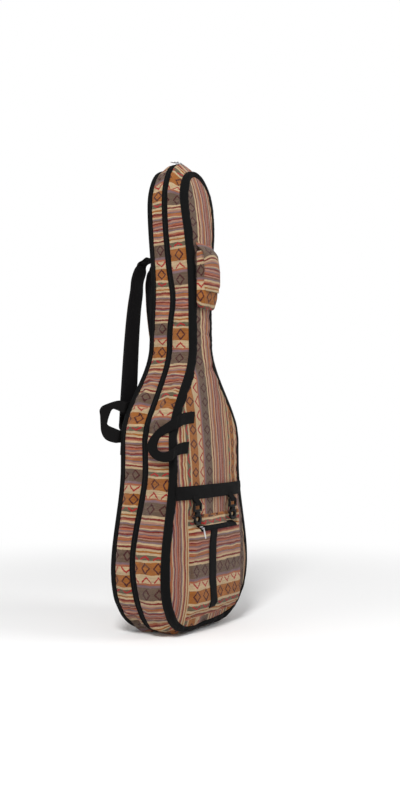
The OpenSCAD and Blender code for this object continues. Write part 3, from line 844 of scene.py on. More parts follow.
def pucker(s, amount, rows_per_fold, seed):
    """Short folds across a strip that fade towards its seams; s is the share across it."""
    out = np.zeros(s.shape)
    for (i, j), across in np.ndenumerate(s):
        p = Vector((i / rows_per_fold, across * 0.9 + 0.12 * math.sin(i / 9.0), seed * 5.1))
        q = Vector((i / (rows_per_fold * 0.4), across * 1.6, seed * 9.7))
        out[i, j] = noise.noise(p) - 1.3 * abs(noise.noise(q)) + 0.32
    return out * np.sin(math.pi * s) ** 0.6 * amount


def side_wall(name, front, seed):
    """The cloth strip between a seam and the zip, bulging between its bindings and puckered."""
    edge = EDGES[front]
    z = LOOP[:, 1]
    flat_run = np.abs(LOOP[:, 0]) < FLAT_W
    seam_y = (rim_y(edge[:, 1], front) - 2 * OUT[front])[:, None]
    zip_y = (ZIP_LINE + 6.2 * OUT[front])[:, None]
    hem = 9.0 / np.abs(zip_y - seam_y)
    inner = np.linspace(0, 1, 13)[None, 1:]
    t = np.hstack([np.array([0, 0.5, 1.0])[None, :] * hem, hem + (1 - hem) * inner])
    s = np.clip((t - hem) / (1 - hem), 0, 1)
    rise = smoothstep(t, 0.1, 1)
    ring = edge[:, None, :] * (1 - rise)[..., None] + LOOP[:, None, :] * rise[..., None]
    low = smoothstep(-z, -90, -5)
    waist = smoothstep(z, 400, 480) * smoothstep(-z, -700, -600)
    gather = 0.9 + 1.3 * low + 1.4 * waist + 0.6 * smoothstep(z, 880, 960)
    gather = np.where(flat_run, 0.3, gather)
    bulge = np.where(flat_run, 1.2, 4.4)[:, None] * np.sin(math.pi * s) ** 0.6
    fold = pucker(s, 4.2, 6.0, seed) * gather[:, None]
    ring = ring + LOOP_NORMAL[:, None, :] * (bulge + fold - 0.4)[..., None]
    y = seam_y * (1 - t) + zip_y * t
    anchor = arc_at_height(WALL_BAND_Z[front])
    along = (LOOP_ARC[:, None] - anchor) * WALL_STRETCH[front]
    skew = 2.5 * np.sin(LOOP_ARC / 61.0 + seed)[:, None] * (t - 0.5)
    v = GREY_CENTRE - OUT[front] * along + skew
    u = y + (9.0 if front else -11.0)
    obj = sheet(name, lay(ring, y), np.stack([u, v], -1), wrap=True, flip=not front)
    pinned = (t < hem + 0.01) | (t > 0.995)
    inflate(obj, pinned.ravel(), 1.2, 4.0, 0.07)
    settled = vertex_array(obj)
    settled[:, 2] = np.maximum(settled[:, 2], 0.6 * MM)
    set_vertices(obj, settled)
    return thicken(refine(obj), 0.9)


def swept_ring(name, rails, cloth_u):
    """Sweeps a closed profile round the bag: each rail is a loop of (x, z) points and their y."""
    stack = np.stack([lay(ring, y) for ring, y in rails], 1)
    cloth = np.stack(np.broadcast_arrays(np.asarray(cloth_u)[None, :], LOOP_ARC[:, None]), -1)
    faces = grid_faces(*stack.shape[:2], wrap_rows=True, wrap_cols=True)
    return fix_normals(make_object(name, stack.reshape(-1, 3), faces, cloth.reshape(-1, 2)))


def edge_binding(name, front):
    """Tape folded over the seam between a panel and its side wall, with its stitches."""
    out = OUT[front]
    edge = EDGES[front]
    wander = np.array([noise.noise(Vector((i * 0.06, -3.3 * out, 0))) for i in range(len(LOOP))])
    on_face = 10.5 + 0.9 * wander + (4.0 if front else 0.0) * smoothstep(LOOP[:, 0], -30, 60)
    on_side = 11.5 - 0.9 * wander

    def panel(inward, lift):
        ring = edge - LOOP_NORMAL * np.asarray(inward).reshape(-1, 1)
        return ring, SKIN[front](ring[:, 0], ring[:, 1]) + out * lift

    def wall(depth, lift):
        return edge + LOOP_NORMAL * lift, rim_y(edge[:, 1], front) - out * depth

    rails = [
        panel(on_face, -0.9), panel(on_face, 0.9), panel(on_face - 1.6, 1.7), panel(6.0, 2.0),
        panel(2.5, 2.0), panel(0.2, 1.7), wall(0.2, 1.2), wall(2.4, 1.9), wall(6.0, 2.2),
        wall(on_side - 1.4, 2.4), wall(on_side, 1.4), wall(on_side, -1.6), wall(5.0, -1.2),
        wall(3.0, -2.5), panel(4.0, -2.2),
    ]
    facing = np.tile([0.0, out, 0.0], (len(LOOP), 1))
    rows = []
    for (ring, y), way in ((panel(on_face - 2.8, 2.0), facing),
                           (wall(on_side - 2.6, 2.4), lay(LOOP_NORMAL, 0 * wander))):
        line = lay(ring, y)
        rows.append(stitches(np.vstack([line, line[:1]]), np.vstack([way, way[:1]])))
    finish_piece(join(name + "_stitches", rows), BODY[front], "black_binding")
    return swept_ring(name, rails, np.linspace(0, 26, len(rails)))


def zip_tape(name, front):
    """One half of the zip's tape, from the side wall to the coil, without the bottom hinge."""
    steps = [(-0.8, 7.2), (0.9, 7.5), (1.7, 6.8), (1.7, 4.6), (1.2, 2.9), (0.2, 2.4), (-0.8, 2.4),
             (-1.2, 5.0)]
    rails = [(LOOP + LOOP_NORMAL * lift, ZIP_LINE + OUT[front] * away) for lift, away in steps]
    tape = swept_ring(name, rails, [0, 1, 2, 5, 7, 8, 9, 12])

    def cut_bottom(work):
        centres = [(face, face.calc_center_median()) for face in work.faces]
        gone = [face for face, at in centres
                if at.z < HINGE_TOP * MM and abs(at.x) < (FLAT_W + 4) * MM]
        bmesh.ops.delete(work, geom=gone, context="FACES")

    return rework(tape, cut_bottom)


def blocks(name, corners):
    """A row of zip teeth: each block has eight corners, four at its foot and four on top."""
    sides = [(0, 1, 2, 3), (4, 7, 6, 5), (0, 4, 5, 1), (1, 5, 6, 2), (2, 6, 7, 3), (3, 7, 4, 0)]
    faces = [tuple(base + k for k in side) for base in range(0, len(corners), 8) for side in sides]
    return fix_normals(make_object(name, corners, faces, np.zeros((len(corners), 2)), False))


def zip_teeth(name, front):
    """The coil: one small rounded block for each turn."""
    teeth, normals, _ = resample_outline(TOOTH_PITCH)
    keep = (np.abs(teeth[:, 0]) > FLAT_W + 5) | (teeth[:, 1] > HINGE_TOP)
    teeth, normals = teeth[keep], normals[keep]
    middle = ZIP_Y + zip_meander(teeth)
    ahead = np.column_stack([-normals[:, 1], normals[:, 0]])
    near, far = 0.1 * OUT[front], 2.5 * OUT[front]
    shape = [(-0.85, near, 0.0), (0.85, near, 0.0), (0.85, far, 0.0), (-0.85, far, 0.0),
             (-0.6, near, 1.5), (0.6, near, 1.5), (0.6, far * 0.9, 1.5), (-0.6, far * 0.9, 1.5)]
    corners = []
    for point, normal, way, line in zip(teeth, normals, ahead, middle):
        for along, y, lift in shape:
            p = point + way * along + normal * (lift + 0.1)
            corners.append((p[0], line + y, p[1]))
    return blocks(name, corners)


def lining_shell(name, front):
    """Inside of one half: a wall and a floor that follow the padding."""
    into = -PADDED_WALL * OUT[front]
    edge = EDGES[front]
    inner = edge - LOOP_NORMAL * PADDED_WALL
    base_y = rim_y(edge[:, 1], front) + into
    stop = ZIP_LINE + 2.0 * OUT[front]
    rings = [lay(inner + (LOOP - edge) * share, base_y * (1 - share) + stop * share)
             for share in (1.0, 0.66, 0.33, 0.0)]
    stack = np.stack(rings, 1)
    cloth = np.stack(np.broadcast_arrays(stack[..., 1], LOOP_ARC[:, None]), -1)
    wall = sheet(name + "_wall", stack, cloth, wrap=True, flip=not front)
    rows = right_rows(inner, 0)
    u = np.linspace(-1, 1, 21)
    x = rows[:, :1] * u
    z = np.repeat(rows[:, 1:], len(u), 1)
    swell = -OUT[front] * 3.0 * (1 - u**2) * np.ones_like(z)
    floor = np.stack([x, rim_y(z, front) + into + swell, z], -1)
    return wall, sheet(name, floor, np.stack([x, z], -1), flip=not front)


def cap_lip(name, front):
    """The raw edge of the padded wall beside the zip, bound in black."""
    near = ZIP_LINE + 2.2 * OUT[front]
    far = near + 1.2 * OUT[front]
    corners = [(8.4, near), (0.4, near), (0.4, far), (8.4, far)]
    return swept_ring(name, [(LOOP - LOOP_NORMAL * sink, y) for sink, y in corners], [0, 8, 9, 17])


def press_hollows(obj):
    """Presses the padding back behind the two hooks, which swivel there."""
    points = vertex_array(obj) / MM
    for word in ("left", "right"):
        low, high = node_box(word + "_hook_body")
        away = np.abs(points - (low + high) / 2) - (high - low) / 2
        near = (1 - smoothstep(away[:, 0], 3, 17)) * (1 - smoothstep(away[:, 2], 2, 12))
        back = joint(word + "_hook_swivel")[0][1] + HOOK_CLEARANCE
        points[:, 1] += near * np.maximum(back - points[:, 1], 0)
    return set_vertices(obj, points * MM)


def build_panel(front):
    """Front or back panel: cloth over padding, pinned along its seam and puffed out."""
    def surface(x, z):
        return padded_surface(x, z, front)

    word = "front" if front else "back"
    grid = panel_grid(surface, front)
    obj = sheet(word + "_panel_cloth", grid, panel_cloth(grid, 1 if front else 0.4), flip=not front)
    rows, cols = grid.shape[:2]
    row, col = np.indices((rows, cols))
    pinned = (col < 2) | (col > cols - 3) | (row < 2) | (row > rows - 4)
    inflate(obj, pinned.ravel(), 0.7, 4.0, 0.022)
    if front:
        press_hollows(obj)
    skin = skin_of(obj, front, surface)
    thicken(refine(obj), 1.0)
    finish_piece(obj, BODY[front], "woven_cloth", word + "_panel", word + "_foam")
    return skin


SKIN = {True: build_panel(True), False: build_panel(False)}


def build_shell(front):
    """Side wall, binding, zip tape and teeth, lining and padding edge of one half."""
    word = "front" if front else "rear"
    body = BODY[front]
    wall = side_wall(word + "_side_wall", front, 1 if front else 2)
    finish_piece(wall, body, "woven_cloth", word + "_gusset", word + "_gusset_foam")
    binding = edge_binding(word + "_binding_tape", front)
    finish_piece(binding, body, "black_binding", word + "_edge_binding")
    tape = zip_tape(word + "_zip_tape_strip", front)
    finish_piece(tape, body, "black_binding", word + "_zip_tape")
    finish_piece(zip_teeth(word + "_zip_teeth", front), body, "zip_coil", word + "_zip_coil")
    lining_wall, lining_floor = lining_shell(word + "_inner_lining", front)
    finish_piece(lining_wall, body, "lining", word + "_gusset_lining")
    finish_piece(lining_floor, body, "lining", "front_lining" if front else "back_lining")
    finish_piece(cap_lip(word + "_padding_lip", front), body, "black_binding")


build_shell(True)
build_shell(False)


def bottom_hinge():
    """The strip of binding that joins the halves under the bag; the real strip folds when the bag
    opens, but this mesh does not fold.
    """
    half = 9
    x = np.linspace(-FLAT_W - 6, FLAT_W + 6, 30)
    y = np.linspace(ZIP_Y - half, ZIP_Y + half, 15)
    grid_x, grid_y = np.meshgrid(x, y, indexing="ij")
    drop = 0.8 + 0.5 * np.cos((grid_y - ZIP_Y) / half * math.pi / 2)
    edge_up = np.interp(np.abs(grid_x), RIGHT[:4, 0], RIGHT[:4, 1]) - BOTTOM_Z
    points = np.stack([grid_x, grid_y, BOTTOM_Z - drop + edge_up], -1)
    obj = sheet("bottom_hinge_strip", points, np.stack([grid_y, grid_x], -1), thick=1.0)
    fix_normals(obj)
    bend_over(obj)
    finish_piece(obj, None, "black_binding", "rear_hinge_strip", "front_hinge_strip")


bottom_hinge()


# ---- things on the front


def span_of(node):
    """(x0, x1, z0, z1) of a CAD node."""
    low, high = node_box(node)
    return low[0], high[0], low[2], high[2]


def strip_on(name, front, surface, span, thick):
    """A flat strip that follows a surface, with soft edges and real thickness."""
    x0, x1, z0, z1 = span
    step, lift = 5.0, 0.4
    nx, nz = (max(4, int(abs(reach) / step)) for reach in (x1 - x0, z1 - z0))
    x, z = np.meshgrid(np.linspace(x0, x1, nx), np.linspace(z0, z1, nz), indexing="ij")
    y = surface(x, z) + OUT[front] * (lift + thick)
    along_x = abs(x1 - x0) > abs(z1 - z0)
    cloth = np.stack([z, x] if along_x else [x, z], -1)
    obj = fix_normals(sheet(name, np.stack([x, y, z], -1), cloth, thick=thick))
    soften_edges(obj, thick * 0.4, 2)
    return apply_modifiers(obj)


def strip_stitches(name, front, surface, span, lift):
    """Stitches round the edge of a strip that lies on a surface."""
    inset = 2.2
    x0, x1, z0, z1 = span[0] + inset, span[1] - inset, span[2] + inset, span[3] - inset
    corners = [(x0, z0), (x1, z0), (x1, z1), (x0, z1), (x0, z0)]
    rows = []
    for (xa, za), (xb, zb) in zip(corners, corners[1:]):
        count = max(3, int(math.hypot(xb - xa, zb - za) / 4))
        x, z = np.linspace(xa, xb, count), np.linspace(za, zb, count)
        line = np.column_stack([x, surface(x, z) + OUT[front] * lift, z])
        rows.append(stitches(line, (0, OUT[front], 0)))
    thread = join(name, rows)
    finish_piece(thread, BODY[front], "black_webbing")


def sewn_strip(name, thread_name, front, surface, span, thick, node):
    """A strip of webbing in place of a CAD node, with stitches round its edge."""
    strip = strip_on(name, front, surface, span, thick)
    finish_piece(strip, BODY[front], "black_webbing", node)
    strip_stitches(thread_name, front, surface, span, thick + 0.5)


POCKET_FRONT = node_box("pocket_face")[0][1]
POCKET_TOP = node_box("pocket_top_strip")[1][2]
POCKET_LEFT, POCKET_RIGHT, POCKET_FOOT, _ = span_of("pocket_gusset")
ZIP_SPAN = span_of("pocket_zip_tape")
POCKET_HALF = (POCKET_RIGHT - POCKET_LEFT) / 2
POCKET_MID = (POCKET_RIGHT + POCKET_LEFT) / 2


def pocket_surface(x, z):
    """Front of the lower pocket: it stands out of the panel and bellies a little."""
    depth = -POCKET_FRONT + np.interp(z, *PROFILE[True])
    across = (np.asarray(x) - POCKET_MID) / POCKET_HALF
    side = 1 - np.clip(np.abs(across), 0, 1) ** 26
    low = smoothstep(z, POCKET_FOOT, POCKET_FOOT + 24) ** 0.6
    high = np.clip((POCKET_TOP - z) / (POCKET_TOP - ZIP_SPAN[3]), 0, 1) ** 0.75
    belly = 3.0 * np.cos(np.clip(across, -1, 1) * math.pi / 2) * low * high
    base = rim_y(z, True) - 0.75 * puff(x, z, PUFF[True], True)
    uneven = lumps(np.asarray(x) - POCKET_MID, z, 5, 46, 0.9)
    return base - (depth - 2.0) * side * low * high - belly - uneven * side


def spread(low, high, count):
    """Positions that crowd towards both ends."""
    ends = 0.06
    t = np.linspace(0, 1, count)
    s = 0.5 - 0.5 * np.cos(math.pi * t)
    return low + (high - low) * ((1 - ends) * (0.65 * s + 0.35 * t) + ends * s)


def build_pocket():
    """Lower pocket: simulated cloth, middle strip, zip tape, zip teeth and stitches."""
    x = POCKET_MID + spread(-POCKET_HALF, POCKET_HALF, 71)
    z = spread(POCKET_FOOT, POCKET_TOP, 61)
    gx, gz = np.meshgrid(x, z, indexing="ij")
    rim = np.abs(gx - POCKET_MID) > POCKET_HALF - 0.01
    rim |= (gz < POCKET_FOOT + 0.01) | (gz > POCKET_TOP - 0.01)
    panel = SKIN[True](gx, gz)
    y = np.where(rim, panel + 0.8, np.minimum(pocket_surface(gx, gz), panel - 1.0))
    cloth = np.stack([gx, GREY_CENTRE + (gz - POCKET_BAND_Z)], -1)
    obj = sheet("pocket_cloth", np.stack([gx, y, gz], -1), cloth)
    inflate(obj, rim.ravel(), 0.8, 3.0, 0.02)
    press_hollows(obj)
    skin = skin_of(obj, True, pocket_surface)
    thicken(refine(obj), 1.1)
    finish_piece(obj, BODY[True], "woven_cloth", "pocket_face", "pocket_top_strip", "pocket_gusset")
    sewn_strip("pocket_middle_strip", "pocket_strip_stitches", True, skin,
               span_of("pocket_center_strip"), 1.6, "pocket_center_strip")
    edge = (POCKET_LEFT + 3, POCKET_RIGHT - 3, POCKET_FOOT + 14, POCKET_TOP - 12)
    strip_stitches("pocket_edge_stitches", True, skin, edge, 0.2)
    x0, x1, z0, z1 = ZIP_SPAN
    tape = strip_on("pocket_zip_band", True, skin, (x0, x1, z0 - 1, z1 + 1), 0.9)
    finish_piece(tape, BODY[True], "black_binding", "pocket_zip_tape")
    finish_piece(pocket_teeth(skin), BODY[True], "zip_coil", "pocket_zip_coil")


def pocket_teeth(skin):
    """The pocket's coil: two rows of blocks, half a tooth apart."""
    x0, x1, z0, z1 = span_of("pocket_zip_coil")
    mid = (z0 + z1) / 2
    puller_back = joint("pocket_pull_swing")[0][1] + 3.7
    shape = [(-0.8, 0.1, 0), (0.8, 0.1, 0), (0.8, 2.3, 0), (-0.8, 2.3, 0),
             (-0.6, 0.1, -1.3), (0.6, 0.1, -1.3), (0.6, 2.1, -1.3), (-0.6, 2.1, -1.3)]
    corners = []
    for x in np.arange(x0, x1, TOOTH_PITCH):
        y = max(spot(skin, x, mid) - 1.2, puller_back)
        for side, shift in ((-1, 0.0), (1, TOOTH_PITCH / 2)):
            corners += [(x + dx + shift, y + dy, mid + side * dz) for dx, dz, dy in shape]
    return blocks("pocket_zip_teeth", corners)


build_pocket()


def build_pocket_pull():
    """Silver puller of the pocket zip: a ring and a tab that hangs a little askew."""
    pos, _ = joint("pocket_pull_swing")
    foot = node_box("pocket_zip_pull")[0][2]
    turn = np.linspace(0, 2 * math.pi, 25)[:-1]
    ring = np.column_stack([pos[0] + 0 * turn, pos[1] - 0.5 + 2.0 * np.cos(turn),
                            pos[2] - 1.5 + 3.25 * np.sin(turn)])
    out = np.column_stack([0 * turn, np.cos(turn), np.sin(turn)])
    across = np.tile([1.0, 0, 0], (len(turn), 1))
    ring = tube("ring", ring, across, out, rounded_bar(1.8, 1.0), closed=True)
    lean = np.array([math.sin(math.radians(20)), 0, -math.cos(math.radians(20))])
    share = np.linspace(0, 1, 12)
    path = pos + [0, -2.0, -3.0] + lean * (share[:, None] * (pos[2] - foot - 5))
    forward = np.tile([0, -1.0, 0], (len(share), 1))
    tab = tube("tab", path, np.cross(lean, forward), forward, rounded_bar(5.0, 1.5, edge=0.6))
    shape = 0.75 + 0.25 * np.sin(np.clip(share * 1.25, 0, 1) * math.pi)
    points = vertex_array(tab).reshape(len(share), -1, 3)
    centre = points.mean(1, keepdims=True)
    set_vertices(tab, ((points - centre) * shape[:, None, None] + centre).reshape(-1, 3))
    puller = join("pocket_puller", [ring, tab])
    finish_piece(puller, "pocket_pull", "silver_metal", "pocket_zip_pull")


build_pocket_pull()


def build_band():
    """The webbing band across the front."""
    _, _, z0, z1 = span_of("front_band")
    reach = half_width((z0 + z1) / 2) - 6
    sewn_strip("front_webbing_band", "front_band_stitches", True, SKIN[True],
               (-reach, reach, z0, z1), 1.8, "front_band")


build_band()


def build_hook_loops():
    """Webbing folded round each hook's bar and caught under the band."""
    bend = 3.1
    band_low = node_box("front_band")[0][2]
    pieces = []
    for word in ("left", "right"):
        x, bar_y, bar_z = joint(word + "_eye_swing")[0]
        seam_y = spot(SKIN[True], x, band_low + 6) - 1.0
        path = [(seam_y, band_low + 8), (seam_y + 0.3, band_low + 1)]
        path += [(bar_y + bend * math.cos(a), bar_z + bend * math.sin(a))
                 for a in np.radians([60, 20, -30, -80, -130, -175, -220])]
        path += [(seam_y - 3.0, band_low + 2), (seam_y - 2.4, band_low + 8)]
        path = smooth_path([(x, y, z) for y, z in path], 40)
        pieces.append(webbing("loop", path, np.tile([1.0, 0, 0], (len(path), 1)), 22, 1.7))
    loops = join("hook_webbing_loops", pieces)
    finish_piece(loops, BODY[True], "black_webbing", "hook_loops")


build_hook_loops()


# ---- carrying handles


# Edges of each handle's webbing, as (reach from the hinge, height): a reach below 0 is sewn down.
HANDLE_WIDTH = 26.0
HANDLE_EDGES = {
    "front": (
        [(-62, 46), (-40, 44.5), (-20, 42), (-5, 37), (10, 29), (22, 20), (42, 5), (57, -14), (61, -30),
         (55, -45), (41, -57), (21, -63), (6, -62), (-5, -57), (-16, -50), (-30, -47), (-52, -45.5)],
        [(-62, 20), (-40, 18.5), (-20, 14.5), (-5, 8.5), (4, 5.5), (12, 1), (27, -7), (36, -17),
         (38, -29), (34, -38), (26, -42), (14, -41), (5, -37), (-5, -31), (-16, -24), (-30, -21),
         (-52, -19.5)],
    ),
    "rear": (
        [(-60, 46), (-40, 46), (-20, 46), (-4, 45), (6, 45), (15, 45), (26, 41), (40, 33), (50, 26),
         (54, 17), (50, 4), (45, -13), (40, -28), (34, -37), (27, -43), (18, -46), (8, -47),
         (-5, -46), (-20, -46), (-40, -46), (-60, -46)],
        [(-60, 20), (-40, 20), (-20, 20), (-4, 20), (5, 20.5), (11, 22), (18, 23.5), (25, 24),
         (28, 20), (29.5, 12), (30.5, 2), (30.5, -5), (30, -10), (27, -12.5), (22, -14), (15, -15.5),
         (7, -17), (-5, -19), (-20, -20), (-40, -20), (-60, -20)],
    ),
}


def build_handle(word, front):
    """One strip of webbing: two sewn ends and the flat loop between them."""
    pos, axis = joint(word + "_handle_swing")
    axis = unit(axis)
    rel = node_points(word + "_handle_loop") - pos
    flat = rel - np.outer(rel @ axis, axis)
    reach_dir = unit(flat[np.argmax(np.linalg.norm(flat, axis=1))])

    def place(edge):
        """Points of an edge: on the cloth where it is sewn down, in the loop's plane elsewhere."""
        reach, height = edge[:, 0], edge[:, 1]
        hinge = pos + np.outer(height, axis / axis[2])
        x = hinge[:, 0] - reach
        z = hinge[:, 2]
        inside = x + half_width(z, front)
        lift = 3.5 - 1.9 * smoothstep(inside, 12, 20)
        y = SKIN[front](x - np.minimum(inside - 3, 0), z) + OUT[front] * lift
        free = hinge + np.outer(reach, reach_dir)
        mix = smoothstep(reach, -8, 8)[:, None]
        return np.column_stack([x, y, z]) * (1 - mix) + free * mix

    outer, inner = (np.array(edge, float) for edge in HANDLE_EDGES[word])
    t = run_length((outer + inner) / 2)
    share = np.linspace(0, t[-1], 130)
    outer, inner = hermite(t, outer, share), hermite(t, inner, share)
    free = smoothstep((outer[:, 0] + inner[:, 0]) / 2, 0, 20)[:, None]
    outer, inner = place(outer), place(inner)
    path = (outer + inner) / 2
    side = (outer - inner) / HANDLE_WIDTH
    up = unit(np.cross(side, np.gradient(path, axis=0)))
    wave = 1.5 * np.sin(np.linspace(0, 9, len(path)))[:, None] * free
    obj = tube(word + "_carrying_handle", path + up * wave, side, up, rounded_bar(HANDLE_WIDTH, 2.1))
    bend_over(obj)
    finish_piece(obj, None, "black_webbing", word + "_handle_loop", word + "_handle_tabs")


build_handle("front", True)
build_handle("rear", False)


# ---- shoulder straps


PAD_ROUND = 14.0
PAD_WIDTH = 46.0
PAD_THICK = 8.5


def pad_path(pad):
    """Centre line of the CAD pad, with points that crowd towards its ends."""
    high, low = pad[:, 2].max(), pad[:, 2].min()
    levels = np.linspace(high - 4, low + 4, 14)
    centers = []
    for z in levels:
        near = pad[np.abs(pad[:, 2] - z) < 24, :2]
        centers.append([*(0.5 * (near.min(0) + near.max(0))), z])
    even = np.linspace(0, 1, 96)
    crowded = 0.35 * even + 0.65 * (0.5 - 0.5 * np.cos(math.pi * even))
    z = high - 1 - (high - low - 2) * crowded
    drop = levels[0] - levels
    path = hermite(drop, np.array(centers), np.clip(levels[0] - z, 0, drop[-1]))
    path[:, 2] = z
    return path


def build_strap(word):
    """Padded strap: black backing towards the bag and striped cloth on the outside."""
    path = pad_path(node_points(word + "_strap_pad"))
    z = path[:, 2]
    lean = 1 if word == "left" else -1
    twist = np.radians(np.linspace(6, -26, len(path))) * lean
    outward = np.column_stack([-np.sin(twist), np.cos(twist), np.zeros_like(twist)])
    ahead = unit(np.gradient(path, axis=0))
    side = unit(np.cross(ahead, outward))
    up = np.cross(side, ahead)
    angle = np.linspace(0, 2 * math.pi, 28, endpoint=False)
    edge = np.sign(np.cos(angle)) * np.abs(np.cos(angle)) ** 0.35 * PAD_WIDTH / 2
    face = np.sign(np.sin(angle)) * np.abs(np.sin(angle)) ** 0.8 * PAD_THICK / 2
    from_end = np.minimum(z[0] - z, z - z[-1])
    inset = PAD_ROUND - np.sqrt(PAD_ROUND**2 - np.clip(PAD_ROUND - from_end, 0, PAD_ROUND) ** 2)
    narrow = (1 - inset / (PAD_WIDTH / 2))[:, None]
    flat = (1 - 0.55 * inset / PAD_ROUND)[:, None]
    obj = tube(word + "_shoulder_pad", path, side * narrow, up * flat, np.column_stack([edge, face]))
    paint(obj, PAD_MESH, CLOTH, BINDING)
    for polygon in obj.data.polygons:
        outside = Vector(up[len(up) // 2]).dot(polygon.normal)
        polygon.material_index = 1 if outside > 0.45 else (0 if outside < -0.3 else 2)
    body = word + "_strap"
    finish_piece(obj, body, "strap_pad", word + "_strap_pad")
    sewn = from_end > PAD_ROUND
    row = (PAD_WIDTH / 2 - 4.5) * side
    face = path + up * (PAD_THICK / 2 + 0.05)
    rows = [stitches((face + row * way)[sewn], up[sewn]) for way in (-1, 1)]
    finish_piece(join(word + "_pad_stitches", rows), body, "strap_pad")
    build_strap_head(word, path)
    build_strap_tail(word, path)


def build_strap_head(word, path):
    """Webbing from the patch at the top of the back to the pad."""
    x, _, z = joint(word + "_strap_swing")[0]
    rear = spot(SKIN[False], x, z)
    crest = np.array([x, rear + 8, z + 3])
    top = [(x, rear + 1.5, z - 9), (x, rear + 3, z - 1), (x * 1.01, rear + 8, z + 3),
           (path[0] + crest) / 2 + [0, 0, 2], path[0] + [0, -2.5, 5], path[6]]
    line = smooth_path(top, 50)
    obj = webbing(word + "_strap_head", line, np.tile([1.0, 0, 0], (len(line), 1)), 36, 2.2)
    bend_over(obj)
    finish_piece(obj, None, "black_webbing")


def build_strap_tail(word, path):
    """Webbing from the pad, through the adjuster, to the patch at the foot of the back."""
    x = joint(word + "_strap_swing")[0][0]
    tabs = node_points("strap_lower_tabs")
    tab = tabs[tabs[:, 0] * x > 0]
    foot = np.array([tab[:, 0].mean(), tab[:, 1].max(), tab[:, 2].max() - 12])
    rear = spot(SKIN[False], foot[0], foot[2] - 30)
    web = node_points(word + "_strap_webbing")
    web_end = web[web[:, 2] < web[:, 2].min() + 6].mean(0)
    way = joint(word + "_adjuster_travel")[1]
    pad_end = path[-1][2]
    levels = (pad_end - 10, pad_end - 40, pad_end - 110, pad_end - 180, foot[2] + 22)
    straight = [web_end + way * (z - web_end[2]) / way[2] for z in levels]
    line = smooth_path([path[-14], *straight, (foot[0] + 0.5, rear + 3.5, foot[2] - 14),
                        (foot[0] + 1, rear + 1.6, foot[2] - 36)], 80)
    across = unit(np.cross(unit(np.gradient(line, axis=0)), [0.0, 1.0, 0.0]))
    obj = webbing(word + "_strap_tail", line, across, 24, 2.0)
    bend_over(obj)
    finish_piece(obj, None, "black_webbing", word + "_strap_webbing")


build_strap("left")
build_strap("right")


def build_anchor_patches():
    """Patches that hold the straps' ends on the back."""
    sewn_strip("strap_top_patch", "strap_patch_stitches", False, SKIN[False],
               span_of("strap_anchor_patch"), 1.8, "strap_anchor_patch")
    tabs = node_points("strap_lower_tabs")
    pieces = []
    for sign in (-1, 1):
        here = tabs[tabs[:, 0] * sign > 0]
        low, high = here.min(0), here.max(0)
        span = (low[0] - 4, high[0] + 4, low[2] - 8, low[2] + 30)
        pieces.append(strip_on("tab", False, SKIN[False], span, 1.8))
    feet = join("strap_foot_patches", pieces)
    finish_piece(feet, BODY[False], "black_webbing", "strap_lower_tabs")


build_anchor_patches()


# ---- head pouch


POUCH_ROUND = 34.0


def rounded_box(low, high, radius, step):
    """Vertices and faces of a box of quads with rounded edges."""
    low, high = np.asarray(low, float), np.asarray(high, float)
    counts = np.maximum(3, ((high - low) / step).astype(int))
    index, vertices, faces = {}, [], []

    def vertex(key):
        if key not in index:
            p = low + (high - low) * np.array(key) / counts
            core = np.clip(p, low + radius, high - radius)
            away = p - core
            length = np.linalg.norm(away)
            if length > radius:
                p = core + away / length * radius
            index[key] = len(vertices)
            vertices.append(p)
        return index[key]

    def corner(axis, end, i, j):
        key = [0, 0, 0]
        key[axis], key[(axis + 1) % 3], key[(axis + 2) % 3] = int(end), i, j
        return vertex(tuple(key))

    for axis in range(3):
        for end in (0, counts[axis]):
            for i in range(counts[(axis + 1) % 3]):
                for j in range(counts[(axis + 2) % 3]):
                    square = ((i, j), (i + 1, j), (i + 1, j + 1), (i, j + 1))
                    faces.append(tuple(corner(axis, end, a, b) for a, b in square))
    return np.array(vertices), faces


def build_pouch():
    """Sewn sack below the flap: square at the top, round and sagging at the bottom."""
    low, high = node_box("pouch_body")
    front = low[1] + 2.5
    back = spot(SKIN[True], 0.0, (low[2] + high[2]) / 2) + 2.5
    vertices, faces = rounded_box((low[0], front, low[2]), (high[0], back, high[2]), 8, 3.2)
    x, y, z = vertices.T.copy()
    mid = (low[0] + high[0]) / 2
    cloth = np.stack([x + np.sign(x - mid) * (y - low[1]), GREY_CENTRE + (z - POUCH_BAND_Z)], -1)
    forward = (back - y) / (back - low[1] - 2.5)
    below = np.clip((low[2] + POUCH_ROUND - z) / POUCH_ROUND, 0, 1)
    arc = 1 - np.sqrt(1 - 0.98 * below**2)
    vertices[:, 0] = mid + (x - mid) * (1 - 0.42 * arc * forward)
    vertices[:, 1] += 7.0 * arc * forward
    vertices[:, 2] += 9.0 * below * (1 - forward) - 3.0 * below * forward
    obj = fix_normals(make_object("head_pouch", vertices, faces, cloth))
    inflate(obj, vertices[:, 1] > back - 2.5, 2.0, 4.0, 0.07)
    skin = skin_of(obj, True, lambda x, z: np.full(np.shape(x), back))
    finish_piece(refine(obj), BODY[True], "woven_cloth", "pouch_body", "pouch_closure_patch")
    return skin


